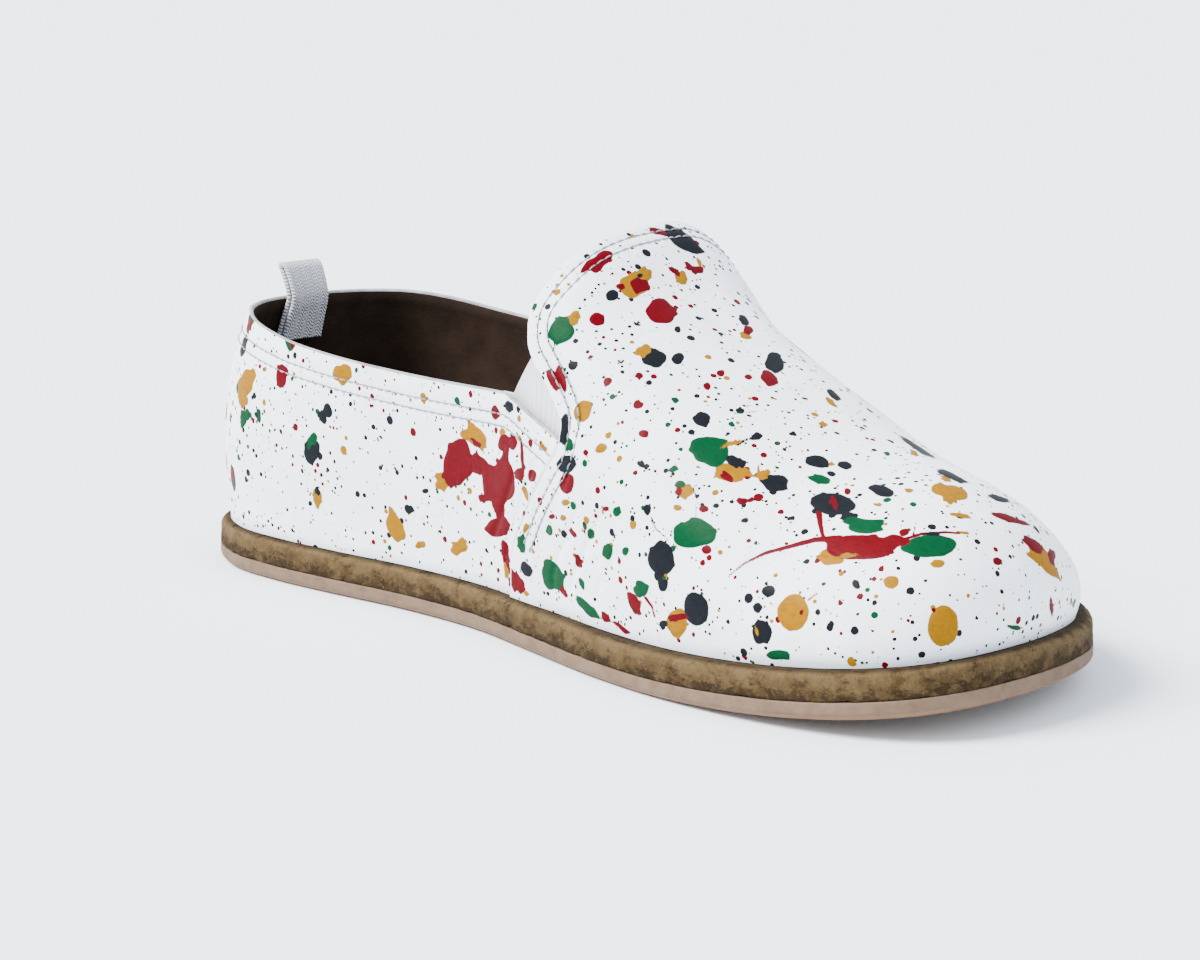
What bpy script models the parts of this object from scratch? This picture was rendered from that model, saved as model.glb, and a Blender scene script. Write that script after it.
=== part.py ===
"""Slip-on shoe for the left foot: flat rubber outsole, leather midsole, insole, one hollow
leather upper with a high rounded instep tab, an elastic gore in each side and a pull tab.

Frame: +X to the toe, +Y to the outer (lateral) side, +Z up, the floor at Z = 0,
the origin under the middle of the sole's box. Units are metres.
"""

import math

import bmesh
import bpy
import numpy as np

# Driving dimensions
SHOE_LENGTH = 0.258
BALL_WIDTH = 0.112
HEEL_WIDTH = 0.080
INSTEP_HEIGHT = 0.0919
TOE_HEIGHT = 0.0382
HEEL_HEIGHT = 0.0652
COLLAR_HEIGHT = 0.0580
GORE_FOOT_HEIGHT = 0.0504
GORE_TOP_HEIGHT = 0.0706
TOE_SPRING = 0.0070
OUTSOLE_THICKNESS = 0.0040
MIDSOLE_THICKNESS = 0.0062
INSOLE_THICKNESS = 0.0025
TOE_LEDGE = 0.0040
HEEL_LEDGE = 0.0028
WALL = 0.0018
LAP_STEP = 0.0010
LAP_FADE = 0.0140
SIDE_BULGE = 0.0018
GORE_THICKNESS = 0.0010
GORE_LAP = 0.0040
PULL_WIDTH = 0.0140
PULL_HEIGHT = 0.0090
PULL_THICKNESS = 0.0032
PULL_SEAT = 0.0100
PULL_LEAN = 0.0036
RIM_BEVEL = 0.0026
GAP = 0.0003

# Places along the shoe, as shares of its length from the heel
SEAM_STATION = 0.54
CORNER_STATION = 0.505
GORE_FOOT_STATION = 0.586
GORE_TOP_STATION = 0.537
SPRING_START = 0.68
WAIST_START = 0.25
BALL_START = 0.70
CREST_REAR = 0.15
CREST_FRONT = 0.86
LEDGE_START = 0.30
LEDGE_END = 0.70

# Shape numbers without a unit
SWELL_LEVEL = 0.2
BEND_REACH = 0.85
SIDE_STRETCH = 1.12

# Counts of the loft
QUARTER_COLUMNS = 22
VAMP_COLUMNS = 22
LOW_ROWS = 8
HIGH_ROWS = 10
GORE_COLUMNS = 12
GORE_ROWS = 8
PULL_STEPS = 3
PULL_ARC_STEPS = 6
COLUMN_SAMPLES = 400
QUARTER_GRADING = 1.35
VAMP_GRADING = 1.15
PLATE_RINGS = (0.0, 0.35, 0.7)
SEAM_STEP = 0.0004
WELD = 2e-5
SHARP_EDGE_DEG = 35.0

# Outline of the sole. Columns: station, half-widths to the inner (medial) and the
# outer (lateral) side as shares of the width there, which runs from HEEL_WIDTH to BALL_WIDTH
OUTLINE = (
    (0.00, 0.065, -0.065),
    (0.015, 0.30, 0.20),
    (0.05, 0.423, 0.361),
    (0.10, 0.500, 0.432),
    (0.17, 0.522, 0.476),
    (0.25, 0.510, 0.497),
    (0.35, 0.461, 0.510),
    (0.45, 0.423, 0.523),
    (0.55, 0.430, 0.528),
    (0.65, 0.449, 0.533),
    (0.73, 0.463, 0.533),
    (0.80, 0.463, 0.505),
    (0.87, 0.446, 0.428),
    (0.93, 0.405, 0.304),
    (0.97, 0.341, 0.178),
    (0.99, 0.265, 0.058),
    (1.00, 0.115, -0.115),
)

# Ridge over the foot. Columns: station, rise above the midsole as shares of the instep's
# rise and of the toe's rise, shift to the outer side as a share of BALL_WIDTH
RIDGE = (
    (0.00, 1.00, 0.00, 0.00),
    (0.25, 1.03, 0.00, 0.00),
    (0.45, 1.05, 0.00, 0.00),
    (0.55, 0.99, 0.00, 0.00),
    (0.60, 0.82, 0.09, -0.02),
    (0.66, 0.62, 0.34, -0.03),
    (0.74, 0.40, 0.61, -0.05),
    (0.82, 0.22, 0.78, -0.07),
    (0.90, 0.09, 1.00, -0.08),
    (1.00, 0.00, 1.08, -0.09),
)

# Sections across the foot. Columns: station, then for the inner and the outer side how fast
# the wall leans in and how fast it rises (1 is an ellipse, less is fuller, more is flatter),
# and how far the wall stands out at half its height as a share of BALL_WIDTH
SECTIONS = (
    (0.00, 0.85, 0.85, 0.00, 0.85, 0.85, 0.00),
    (0.12, 0.70, 0.70, 0.01, 0.75, 0.75, 0.005),
    (0.25, 0.62, 0.62, 0.035, 0.74, 0.78, 0.01),
    (0.40, 0.61, 0.61, 0.055, 0.80, 0.95, 0.01),
    (0.55, 0.56, 0.56, 0.03, 0.97, 1.95, 0.005),
    (0.65, 0.57, 0.57, 0.01, 1.00, 2.20, 0.00),
    (0.75, 0.72, 0.72, 0.00, 1.00, 2.05, 0.00),
    (0.87, 0.95, 0.95, 0.00, 1.00, 1.45, 0.00),
    (1.00, 0.88, 0.78, 0.00, 0.88, 0.78, 0.00),
)

# Rear edge of the vamp. Columns: share of the ridge's rise, shift forward from
# SEAM_STATION as a share of the length
SEAM_PATH = (
    (0.00, -0.036),
    (0.12, -0.031),
    (0.24, -0.007),
    (0.41, 0.028),
    (0.57, 0.050),
    (0.645, 0.044),
    (0.70, 0.006),
    (0.76, -0.006),
    (0.90, -0.003),
    (1.00, 0.000),
)

# Top edge of the quarter. Columns: station, share of the way from COLLAR_HEIGHT up to HEEL_HEIGHT
COLLAR = (
    (0.00, 1.00),
    (0.08, 0.90),
    (0.20, 0.35),
    (0.32, 0.02),
    (0.42, -0.06),
    (0.505, 0.00),
)

# Edge of the outsole, from its flat bottom up. Columns: inset as a share of RIM_BEVEL, height share
OUTSOLE_EDGE = ((1.0, 0.0), (0.25, 0.16), (0.0, 0.42), (0.0, 1.0))

# Rounded edge of the midsole, from its bottom up. Columns: inset and height as shares of its thickness
MIDSOLE_EDGE = ((0.14, 0.0), (0.03, 0.12), (0.0, 0.35), (0.03, 0.70), (0.12, 0.90), (0.28, 1.0))

# Square edge of the insole
INSOLE_EDGE = ((0.06, 0.0), (0.0, 0.2), (0.0, 0.8), (0.06, 1.0))

MEDIAL = -1.0
LATERAL = 1.0


def hermite(knots, values, at):
    """Smooth curve through values at uneven knots: cubic pieces with weighted central slopes."""
    knots = np.asarray(knots, float)
    values = np.asarray(values, float)
    steps = np.diff(knots)
    rises = np.diff(values) / steps
    slopes = np.empty_like(values)
    slopes[0] = rises[0]
    slopes[-1] = rises[-1]
    slopes[1:-1] = (rises[:-1] * steps[1:] + rises[1:] * steps[:-1]) / (steps[:-1] + steps[1:])
    at = np.clip(at, knots[0], knots[-1])
    cell = np.clip(np.searchsorted(knots, at, side="right") - 1, 0, len(knots) - 2)
    t = (at - knots[cell]) / steps[cell]
    low, high = values[cell], values[cell + 1]
    low_slope = slopes[cell] * steps[cell]
    high_slope = slopes[cell + 1] * steps[cell]
    return (low * (2 * t**3 - 3 * t**2 + 1) + low_slope * (t**3 - 2 * t**2 + t)
            + high * (3 * t**2 - 2 * t**3) + high_slope * (t**3 - t**2))


def smoothstep(t):
    """S-shaped blend from 0 to 1."""
    t = np.clip(t, 0.0, 1.0)
    return t * t * (3.0 - 2.0 * t)


def local_width(station):
    """Width of the sole that the outline's shares refer to at a station."""
    blend = smoothstep((station - WAIST_START) / (BALL_START - WAIST_START))
    return HEEL_WIDTH + blend * (BALL_WIDTH - HEEL_WIDTH)


def outline_knots():
    """Common column coordinate of the table's rows: mean chord length of both sides, 0 to 1."""
    table = np.array(OUTLINE)
    width = local_width(table[:, 0])
    along = table[:, 0] * SHOE_LENGTH
    inner = np.hypot(np.diff(along), np.diff(table[:, 1] * width))
    outer = np.hypot(np.diff(along), np.diff(table[:, 2] * width))
    chords = np.concatenate(([0.0], np.cumsum(inner + outer)))
    return chords / chords[-1]


def raw_outline(side, column):
    """Point of the sole's outline on one side at a column coordinate from 0, heel, to 1, toe."""
    table = np.array(OUTLINE)
    width = local_width(table[:, 0])
    knots = outline_knots()
    ends = 3
    this_side = table[:, 1] if side == MEDIAL else table[:, 2]
    far_side = table[:, 2] if side == MEDIAL else table[:, 1]
    across = side * this_side * width
    across_far = -side * far_side * width
    along = table[:, 0] * SHOE_LENGTH
    loop_knots = np.concatenate((-knots[ends:0:-1], knots, 2.0 - knots[-2:-2 - ends:-1]))
    loop_along = np.concatenate((along[ends:0:-1], along, along[-2:-2 - ends:-1]))
    loop_across = np.concatenate((across_far[ends:0:-1], across, across_far[-2:-2 - ends:-1]))
    return np.stack((hermite(loop_knots, loop_along, column),
                     hermite(loop_knots, loop_across, column)), axis=-1)


def outline_centre():
    """Middle of the outline's box."""
    columns = np.linspace(0.0, 1.0, COLUMN_SAMPLES)
    points = np.concatenate((raw_outline(MEDIAL, columns), raw_outline(LATERAL, columns)))
    return (points.min(axis=0) + points.max(axis=0)) / 2.0


CENTRE = outline_centre()


def outline(side, column, inset=0.0):
    """Outline point moved inwards by an inset, square to the outline."""
    column = np.asarray(column, float)
    step = 1e-4
    before = raw_outline(side, column - step)
    after = raw_outline(side, column + step)
    run = after - before
    run = run / np.linalg.norm(run, axis=-1, keepdims=True)
    inward = np.stack((run[..., 1], -run[..., 0]), axis=-1) * side
    inset = np.asarray(inset, float)
    return raw_outline(side, column) - CENTRE + inward * inset[..., None]


def station_of(x):
    """Share of the length from the heel of a place along X."""
    return x / SHOE_LENGTH + 0.5


def spring(x):
    """Lift of the sole's underside towards the toe."""
    rise = np.clip((station_of(x) - SPRING_START) / (1.0 - SPRING_START), 0.0, 1.0)
    return TOE_SPRING * rise**2


MIDSOLE_BOTTOM = OUTSOLE_THICKNESS + GAP
MIDSOLE_TOP = MIDSOLE_BOTTOM + MIDSOLE_THICKNESS
FEATHER = MIDSOLE_TOP + GAP


def ledge(column):
    """Width of the midsole that shows outside the upper."""
    blend = smoothstep((np.asarray(column, float) - LEDGE_START) / (LEDGE_END - LEDGE_START))
    return HEEL_LEDGE + blend * (TOE_LEDGE - HEEL_LEDGE)


def ridge(x):
    """Height and sideways place of the ridge over the foot, at a place along X."""
    table = np.array(RIDGE)
    station = station_of(x)
    of_instep = hermite(table[:, 0], table[:, 1], station)
    of_toe = hermite(table[:, 0], table[:, 2], station)
    aside = hermite(table[:, 0], table[:, 3], station)
    rise = of_instep * (INSTEP_HEIGHT - FEATHER) + of_toe * (TOE_HEIGHT - FEATHER)
    return rise, aside * BALL_WIDTH


def crest(column):
    """Point in plan of the crest line where the two sides of the form meet."""
    reach = raw_outline(MEDIAL, column)[..., 0] / SHOE_LENGTH
    x = (CREST_REAR + (CREST_FRONT - CREST_REAR) * reach) * SHOE_LENGTH - CENTRE[0]
    return np.stack((x, ridge(x)[1]), axis=-1)


def section(side, x):
    """Lean, rise and standing-out of the wall on one side, at a place along X."""
    table = np.array(SECTIONS)
    first = 1 if side == MEDIAL else 4
    station = station_of(x)
    lean, rise, out = (hermite(table[:, 0], table[:, first + shift], station) for shift in range(3))
    return lean, rise, out * BALL_WIDTH


def form(side, column, level):
    """Outer face of the last and upper.

    Each column is a quarter of a rounded section that rises from the feather line, level 0,
    with a slight bulge, and meets the other side at the crest, level 1.
    """
    column, level = np.broadcast_arrays(np.asarray(column, float), np.asarray(level, float))
    angle = level * math.pi / 2.0
    foot = outline(side, column, ledge(column))
    top = crest(column)
    lean_power, rise_power, out = section(side, outline(side, column)[..., 0])
    lean = 1.0 - np.clip(np.cos(angle), 0.0, 1.0)**lean_power
    plan = foot + (top - foot) * lean[..., None]
    outwards = (foot - outline(side, column, ledge(column) + SIDE_BULGE)) / SIDE_BULGE
    low_swell = level * (1.0 - level)**4 / (SWELL_LEVEL * (1.0 - SWELL_LEVEL)**4)
    swell = SIDE_BULGE * low_swell + out * np.sin(level * math.pi)**1.5
    plan = plan + outwards * swell[..., None]
    rise = ridge(plan[..., 0])[0] * np.sin(angle)**rise_power
    return np.stack((plan[..., 0], plan[..., 1], FEATHER + spring(plan[..., 0]) + rise), axis=-1)


def side_normal(side, column, level):
    """Unit normal of the form from differences along and up one side, facing outwards."""
    step = 1e-3
    below = np.minimum(level, 1.0 - 4.0 * step)
    along = form(side, column + step, below) - form(side, column - step, below)
    up = form(side, column, below + step) - form(side, column, np.maximum(below - step, 0.0))
    normal = np.cross(along, up) * -side
    return normal / np.linalg.norm(normal, axis=-1, keepdims=True)


def outward(side, column, level):
    """Unit normal of the form, the same for both sides where they meet at the crest."""
    column, level = np.broadcast_arrays(np.asarray(column, float), np.asarray(level, float))
    normal = side_normal(side, column, level)
    shared = normal + side_normal(-side, column, level)
    shared = shared / np.linalg.norm(shared, axis=-1, keepdims=True)
    crest_rows = level >= 1.0 - 1e-9
    return np.where(crest_rows[..., None], shared, normal)


def column_at(station):
    """Column coordinate whose outline point lies at a station."""
    columns = np.linspace(0.0, 1.0, COLUMN_SAMPLES * 5)
    return float(np.interp(station, raw_outline(MEDIAL, columns)[:, 0] / SHOE_LENGTH, columns))


SEAM = column_at(SEAM_STATION)
SIDE_LENGTH = SHOE_LENGTH * SIDE_STRETCH


def bent(side, column, level):
    """Column coordinate after the columns near the seam are bent along the vamp's rear edge."""
    column, level = np.broadcast_arrays(np.asarray(column, float), np.asarray(level, float))
    path = np.array(SEAM_PATH)
    rise_power = section(side, outline(side, SEAM)[0])[1]
    share = np.sin(level * math.pi / 2.0)**rise_power
    shift = hermite(path[:, 0], path[:, 1], share) * SHOE_LENGTH / SIDE_LENGTH
    reach = np.where(column < SEAM, SEAM, 1.0 - SEAM) * BEND_REACH
    near = 1.0 - smoothstep(np.abs(column - SEAM) / reach)
    return column + shift * near


def level_for(side, column, share):
    """Level at which a column has risen by a share of the ridge's rise."""
    rise_power = section(side, outline(side, column)[..., 0])[1]
    return np.arcsin(np.clip(share, 0.0, 1.0)**(1.0 / rise_power)) * 2.0 / math.pi


def share_of(side, column, level):
    """Share of the ridge's rise that a column has reached at a level."""
    rise_power = section(side, outline(side, column)[..., 0])[1]
    return np.sin(level * math.pi / 2.0)**rise_power


def collar_height(x):
    """Height of the quarter's top edge at a place along X, down the gore's slope in front."""
    station = station_of(x)
    table = np.array(COLLAR)
    back = COLLAR_HEIGHT + hermite(table[:, 0], table[:, 1], station) * (HEEL_HEIGHT - COLLAR_HEIGHT)
    slope = (GORE_FOOT_HEIGHT - COLLAR_HEIGHT) / (GORE_FOOT_STATION - CORNER_STATION)
    return np.where(station > CORNER_STATION, COLLAR_HEIGHT + slope * (station - CORNER_STATION), back)


def gore_height(x):
    """Height of the gore's top edge at a place along X."""
    slope = (GORE_TOP_HEIGHT - COLLAR_HEIGHT) / (GORE_TOP_STATION - CORNER_STATION)
    return COLLAR_HEIGHT + slope * (station_of(x) - CORNER_STATION)


def level_where(side, path, height_at):
    """Level where a path, a column coordinate for each level, reaches a height set by X."""
    levels = np.linspace(0.0, 1.0, COLUMN_SAMPLES)
    points = form(side, path(levels), levels)
    above = points[:, 2] - height_at(points[:, 0])
    first = int(np.argmax(above > 0.0))
    share = -above[first - 1] / (above[first] - above[first - 1])
    return levels[first - 1] + share * (levels[first] - levels[first - 1])


def place(side, column, level, depth):
    """Point of the form moved towards the foot by a depth."""
    depth = np.broadcast_to(np.asarray(depth, float), np.shape(level))
    return form(side, column, level) - outward(side, column, level) * depth[..., None]


def add_grid(bm, points):
    """Quads over a grid of points."""
    rows = [[bm.verts.new(point) for point in row] for row in points]
    for low, high in zip(rows[:-1], rows[1:]):
        for index in range(len(low) - 1):
            bm.faces.new((low[index], low[index + 1], high[index + 1], high[index]))


def solid(name, grids, material):
    """One closed body from grids that share their edges."""
    bm = bmesh.new()
    for grid in grids:
        add_grid(bm, grid)
    bmesh.ops.remove_doubles(bm, verts=bm.verts, dist=WELD)
    bmesh.ops.recalc_face_normals(bm, faces=bm.faces)
    mesh = bpy.data.meshes.new(name)
    bm.to_mesh(mesh)
    bm.free()
    mesh.shade_smooth()
    mesh.set_sharp_from_angle(angle=math.radians(SHARP_EDGE_DEG))
    mesh.materials.append(material)
    piece = bpy.data.objects.new(name, mesh)
    COLLECTION.objects.link(piece)
    return piece


def finish(name, colour, roughness, metallic=0.0):
    """Plain surface with the colour, roughness and metallic value of one sub-part."""
    material = bpy.data.materials.new(name)
    material.use_nodes = True
    shader = material.node_tree.nodes["Principled BSDF"]
    shader.inputs["Base Color"].default_value = (*colour, 1.0)
    shader.inputs["Roughness"].default_value = roughness
    shader.inputs["Metallic"].default_value = metallic
    return material


def plate(name, edge, inset, edge_unit, bottom, thickness, material):
    """Sole layer: a moulded edge all round, closed over the crest line above and below."""
    columns = np.linspace(0.0, 1.0, QUARTER_COLUMNS + VAMP_COLUMNS + 1)
    grids = []
    for side in (MEDIAL, LATERAL):
        top = crest(columns)
        steps = [(edge[0], ring) for ring in PLATE_RINGS]
        steps += [(row, 1.0) for row in edge]
        steps += [(edge[-1], ring) for ring in reversed(PLATE_RINGS)]
        layers = []
        for (row_inset, row_height), ring in steps:
            rim = outline(side, columns, inset(columns) + row_inset * edge_unit)
            plan = top + (rim - top) * ring
            height = bottom + row_height * thickness + spring(plan[:, 0])
            layers.append(np.column_stack((plan, height)))
        grids.append(np.array(layers))
    return solid(name, grids, material)


def no_inset(columns):
    """The sole layers follow the outline itself."""
    return np.zeros_like(columns)


def insole_inset(columns):
    """The insole lies inside the upper's wall with a small clearance."""
    return ledge(columns) + WALL + 2.0 * GAP


def upper_columns():
    """Columns of one side: the quarter's up to the seam, then the vamp's."""
    even = np.linspace(0.0, 1.0, QUARTER_COLUMNS + 1)
    quarter = SEAM * (1.0 - (1.0 - even)**QUARTER_GRADING)
    front = np.linspace(0.0, 1.0, VAMP_COLUMNS + 1)
    start = SEAM + SEAM_STEP / SIDE_LENGTH
    vamp = start + (1.0 - start) * front**VAMP_GRADING
    return quarter, vamp


def upper(material):
    """Hollow upper: quarter round the heel, vamp over the foot, its rear edge a step in the wall."""
    quarter, vamp = upper_columns()
    even = np.arange(LOW_ROWS + 1) / LOW_ROWS
    climb = np.arange(HIGH_ROWS + 1) / HIGH_ROWS
    low_columns = np.concatenate((quarter, vamp))
    joint = len(quarter)
    grids = []
    for side in (MEDIAL, LATERAL):
        tops = [level_where(side, lambda levels, at=column: bent(side, at, levels), collar_height)
                for column in quarter]
        foot_share = share_of(side, SEAM, tops[-1])
        shares = np.empty(len(low_columns))
        shares[:joint] = share_of(side, quarter, np.array(tops))
        shares[joint:] = foot_share + (0.5 - foot_share) * smoothstep((vamp - SEAM) / (1.0 - SEAM))
        low_levels = level_for(side, low_columns[:, None], shares[:, None] * even)
        foot_levels = low_levels[joint:, -1:]
        lean_power = section(side, outline(side, vamp)[:, 0])[0][:, None]
        high_levels = 1.0 - (1.0 - foot_levels) * (1.0 - climb)**(0.5 + 0.5 / lean_power)
        lap = LAP_STEP * np.exp(-((low_columns - SEAM) * SIDE_LENGTH / LAP_FADE)**2)
        lap[:joint] = 0.0
        feet = bent(side, low_columns, 0.0)
        low_bent = bent(side, low_columns[:, None], low_levels)
        high_bent = bent(side, vamp[:, None], high_levels)
        faces = []
        for depth in (-lap, np.full(len(low_columns), WALL)):
            low = place(side, low_bent, low_levels, depth[:, None])
            high = place(side, high_bent, high_levels, depth[joint:, None])
            base = outline(side, feet, ledge(feet) + depth)
            low[:, 0] = np.column_stack((base, FEATHER + spring(base[:, 0])))
            faces.append((low, high))
        (outer_low, outer_high), (inner_low, inner_high) = faces
        outer_high[:, 0] = outer_low[joint:, -1]
        inner_high[:, 0] = inner_low[joint:, -1]
        grids += [outer_low, outer_high, inner_low, inner_high]
        grids.append(np.stack((outer_low[:, 0], inner_low[:, 0])))
        grids.append(np.stack((outer_low[:joint + 1, -1], inner_low[:joint + 1, -1])))
        grids.append(np.stack((outer_high[0], inner_high[0])))
    return solid("upper", grids, material)


def gore(name, side, material):
    """Elastic gore behind the notch between quarter and vamp, with a lap under both."""
    lap = GORE_LAP / SIDE_LENGTH
    start = column_at(CORNER_STATION) - lap

    def low_edge(x):
        """Height of the gore's hidden lower edge."""
        return collar_height(x) - GORE_LAP

    def high_edge(x):
        """Height of the gore's upper edge, and of its lap behind the quarter."""
        return np.maximum(gore_height(x), collar_height(x) - GAP)

    columns = []
    levels = []
    for reach in np.linspace(0.0, 1.0, GORE_COLUMNS + 1):

        def path(at, reach=reach):
            """Column of the gore at a share of the way from its rear edge to the vamp."""
            return start + reach * (bent(side, SEAM, at) + lap - start)

        low = level_where(side, path, low_edge)
        high = level_where(side, path, high_edge)
        levels.append(np.linspace(low, high, GORE_ROWS + 1))
        columns.append(path(levels[-1]))
    columns = np.array(columns)
    levels = np.array(levels)
    near = WALL + 2.0 * GAP
    front, back = (place(side, columns, levels, depth) for depth in (near, near + GORE_THICKNESS))
    grids = [front, back]
    for edge_front, edge_back in ((front[0], back[0]), (front[-1], back[-1]),
                                  (front[:, 0], back[:, 0]), (front[:, -1], back[:, -1])):
        grids.append(np.stack((edge_front, edge_back)))
    return solid(name, grids, material)


def pull_profile(side, column):
    """Closed outline of the folded pull tab at one column of the heel."""
    levels = np.linspace(0.0, 1.0, COLUMN_SAMPLES)
    collar = level_where(side, lambda at: np.full_like(at, column), collar_height)
    heights = form(side, column, levels)[:, 2]
    top = form(side, column, collar)
    facing = outward(side, column, collar) * np.array((1.0, 1.0, 0.0))
    facing = facing / np.linalg.norm(facing)
    near = WALL + 2.0 * GAP

    def spot(depth, height):
        """Place at a depth from the wall's outer face and a height above the collar's edge."""
        if height < 0.0:
            level = np.interp(top[2] + height, heights, levels)
            return form(side, column, level) - outward(side, column, level) * depth
        lean = PULL_LEAN * (height / PULL_HEIGHT)**1.5
        return top + np.array((0.0, 0.0, height)) - facing * (depth - lean)

    radius = PULL_THICKNESS / 2.0
    straight = PULL_HEIGHT - radius
    rises = (-PULL_SEAT, -0.5 * PULL_SEAT, 0.0, 0.25 * straight, 0.5 * straight, 0.75 * straight)
    points = [spot(near, height) for height in rises]
    for angle in np.linspace(0.0, math.pi, PULL_ARC_STEPS + 1):
        points.append(spot(near + radius - radius * math.cos(angle), straight + radius * math.sin(angle)))
    points += [spot(near + PULL_THICKNESS, height) for height in reversed(rises)]
    points.append(points[0])
    return np.array(points)


def pull_tab(material):
    """Folded webbing tab inside the heel's top edge, standing above it."""
    reach = column_at(0.0) + PULL_WIDTH / 2.0 / SIDE_LENGTH
    steps = np.linspace(0.0, reach, PULL_STEPS + 1)
    sections = [pull_profile(MEDIAL, column) for column in steps[:0:-1]]
    sections += [pull_profile(LATERAL, column) for column in steps]
    sections = np.array(sections)
    grids = [sections]
    for end in (sections[0], sections[-1]):
        half = (len(end) - 1) // 2
        grids.append(np.stack((end[:half + 1], end[-1:half - 1:-1][:half + 1])))
    return solid("pull_tab", grids, material)


def build():
    """Make every sub-part of the shoe."""
    leather = finish("white_leather", (0.86, 0.87, 0.89), 0.42)
    raw_leather = finish("raw_leather", (0.33, 0.21, 0.10), 0.80)
    rubber = finish("tan_rubber", (0.45, 0.28, 0.17), 0.62)
    lining = finish("lining_leather", (0.30, 0.20, 0.13), 0.75)
    elastic = finish("grey_elastic", (0.72, 0.72, 0.76), 0.85)
    webbing = finish("grey_webbing", (0.66, 0.66, 0.68), 0.85)
    plate("outsole", OUTSOLE_EDGE, no_inset, RIM_BEVEL, 0.0, OUTSOLE_THICKNESS, rubber)
    plate("midsole", MIDSOLE_EDGE, no_inset, MIDSOLE_THICKNESS, MIDSOLE_BOTTOM, MIDSOLE_THICKNESS,
          raw_leather)
    plate("insole", INSOLE_EDGE, insole_inset, INSOLE_THICKNESS, FEATHER, INSOLE_THICKNESS, lining)
    upper(leather)
    gore("gore_medial", MEDIAL, elastic)
    gore("gore_lateral", LATERAL, elastic)
    pull_tab(webbing)


for old in list(bpy.data.objects):
    bpy.data.objects.remove(old, do_unlink=True)
COLLECTION = bpy.data.collections.new("slip_on_shoe")
bpy.context.scene.collection.children.link(COLLECTION)
build()
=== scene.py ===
"""Dressed left slip-on shoe: white splattered leather, elastic gores, leather midsole, rubber outsole.

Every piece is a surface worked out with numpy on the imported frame's own form, in metres.
"""

import logging
import math
from dataclasses import dataclass, field
from enum import Enum
from typing import Callable, Sequence

import bpy
import numpy as np
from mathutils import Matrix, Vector


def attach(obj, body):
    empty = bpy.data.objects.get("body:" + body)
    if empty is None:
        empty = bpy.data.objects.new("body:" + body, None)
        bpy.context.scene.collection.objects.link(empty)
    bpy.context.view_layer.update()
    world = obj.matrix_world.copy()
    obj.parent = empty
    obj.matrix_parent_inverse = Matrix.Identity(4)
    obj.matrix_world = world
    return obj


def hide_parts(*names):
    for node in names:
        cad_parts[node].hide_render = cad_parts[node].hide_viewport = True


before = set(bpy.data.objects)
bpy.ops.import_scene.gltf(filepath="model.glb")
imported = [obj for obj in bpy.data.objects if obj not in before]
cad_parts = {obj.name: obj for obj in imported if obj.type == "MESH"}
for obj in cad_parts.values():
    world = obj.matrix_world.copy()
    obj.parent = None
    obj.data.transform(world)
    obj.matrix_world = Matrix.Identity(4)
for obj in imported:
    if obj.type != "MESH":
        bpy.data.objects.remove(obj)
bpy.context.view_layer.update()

LOG = logging.getLogger("slip_on_shoe")
MM = 0.001
ROOT = "root"

# Sole outline: station from the heel, inner and outer half-width as shares of the local width
OUTLINE = (
    (0.00, 0.065, -0.065), (0.015, 0.30, 0.20), (0.05, 0.423, 0.361), (0.10, 0.500, 0.432),
    (0.17, 0.522, 0.476), (0.25, 0.510, 0.497), (0.35, 0.461, 0.510), (0.45, 0.423, 0.523),
    (0.55, 0.430, 0.528), (0.65, 0.449, 0.533), (0.73, 0.463, 0.533), (0.80, 0.463, 0.505),
    (0.87, 0.446, 0.428), (0.93, 0.405, 0.304), (0.97, 0.341, 0.178), (0.99, 0.265, 0.058),
    (1.00, 0.115, -0.115),
)
# Ridge: station, share of the instep's rise, share of the toe's rise, shift as a share of the width
RIDGE = (
    (0.00, 1.00, 0.00, 0.00), (0.25, 1.03, 0.00, 0.00), (0.45, 1.05, 0.00, 0.00),
    (0.55, 0.99, 0.00, 0.00), (0.60, 0.82, 0.09, -0.02), (0.66, 0.62, 0.34, -0.03),
    (0.74, 0.40, 0.61, -0.05), (0.82, 0.22, 0.78, -0.07), (0.90, 0.09, 1.00, -0.08),
    (1.00, 0.00, 1.08, -0.09),
)
# Sections: station, then lean, rise and standing-out of the inner and of the outer side
SECTIONS = (
    (0.00, 0.85, 0.85, 0.00, 0.85, 0.85, 0.00),
    (0.12, 0.70, 0.70, 0.01, 0.75, 0.75, 0.005),
    (0.25, 0.62, 0.62, 0.035, 0.74, 0.78, 0.01),
    (0.40, 0.61, 0.61, 0.055, 0.80, 0.95, 0.01),
    (0.55, 0.56, 0.56, 0.03, 0.97, 1.95, 0.005),
    (0.65, 0.57, 0.57, 0.01, 1.00, 2.20, 0.00),
    (0.75, 0.72, 0.72, 0.00, 1.00, 2.05, 0.00),
    (0.87, 0.95, 0.95, 0.00, 1.00, 1.45, 0.00),
    (1.00, 0.88, 0.78, 0.00, 0.88, 0.78, 0.00),
)
# Rear edge of the vamp: share of the ridge's rise, shift forward as a share of the length
SEAM_PATH = (
    (0.00, -0.036), (0.12, -0.031), (0.24, -0.007), (0.41, 0.028), (0.57, 0.050),
    (0.645, 0.044), (0.70, 0.006), (0.76, -0.006), (0.90, -0.003), (1.00, 0.000),
)
# Top edge of the quarter: station, share of the way from the collar's to the heel's height
COLLAR = ((0.00, 1.00), (0.08, 0.90), (0.20, 0.35), (0.32, 0.02), (0.42, -0.06), (0.505, 0.00))


class Side(Enum):
    """Side of the foot, with its sign along Y."""

    INNER = -1.0
    OUTER = 1.0


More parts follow.
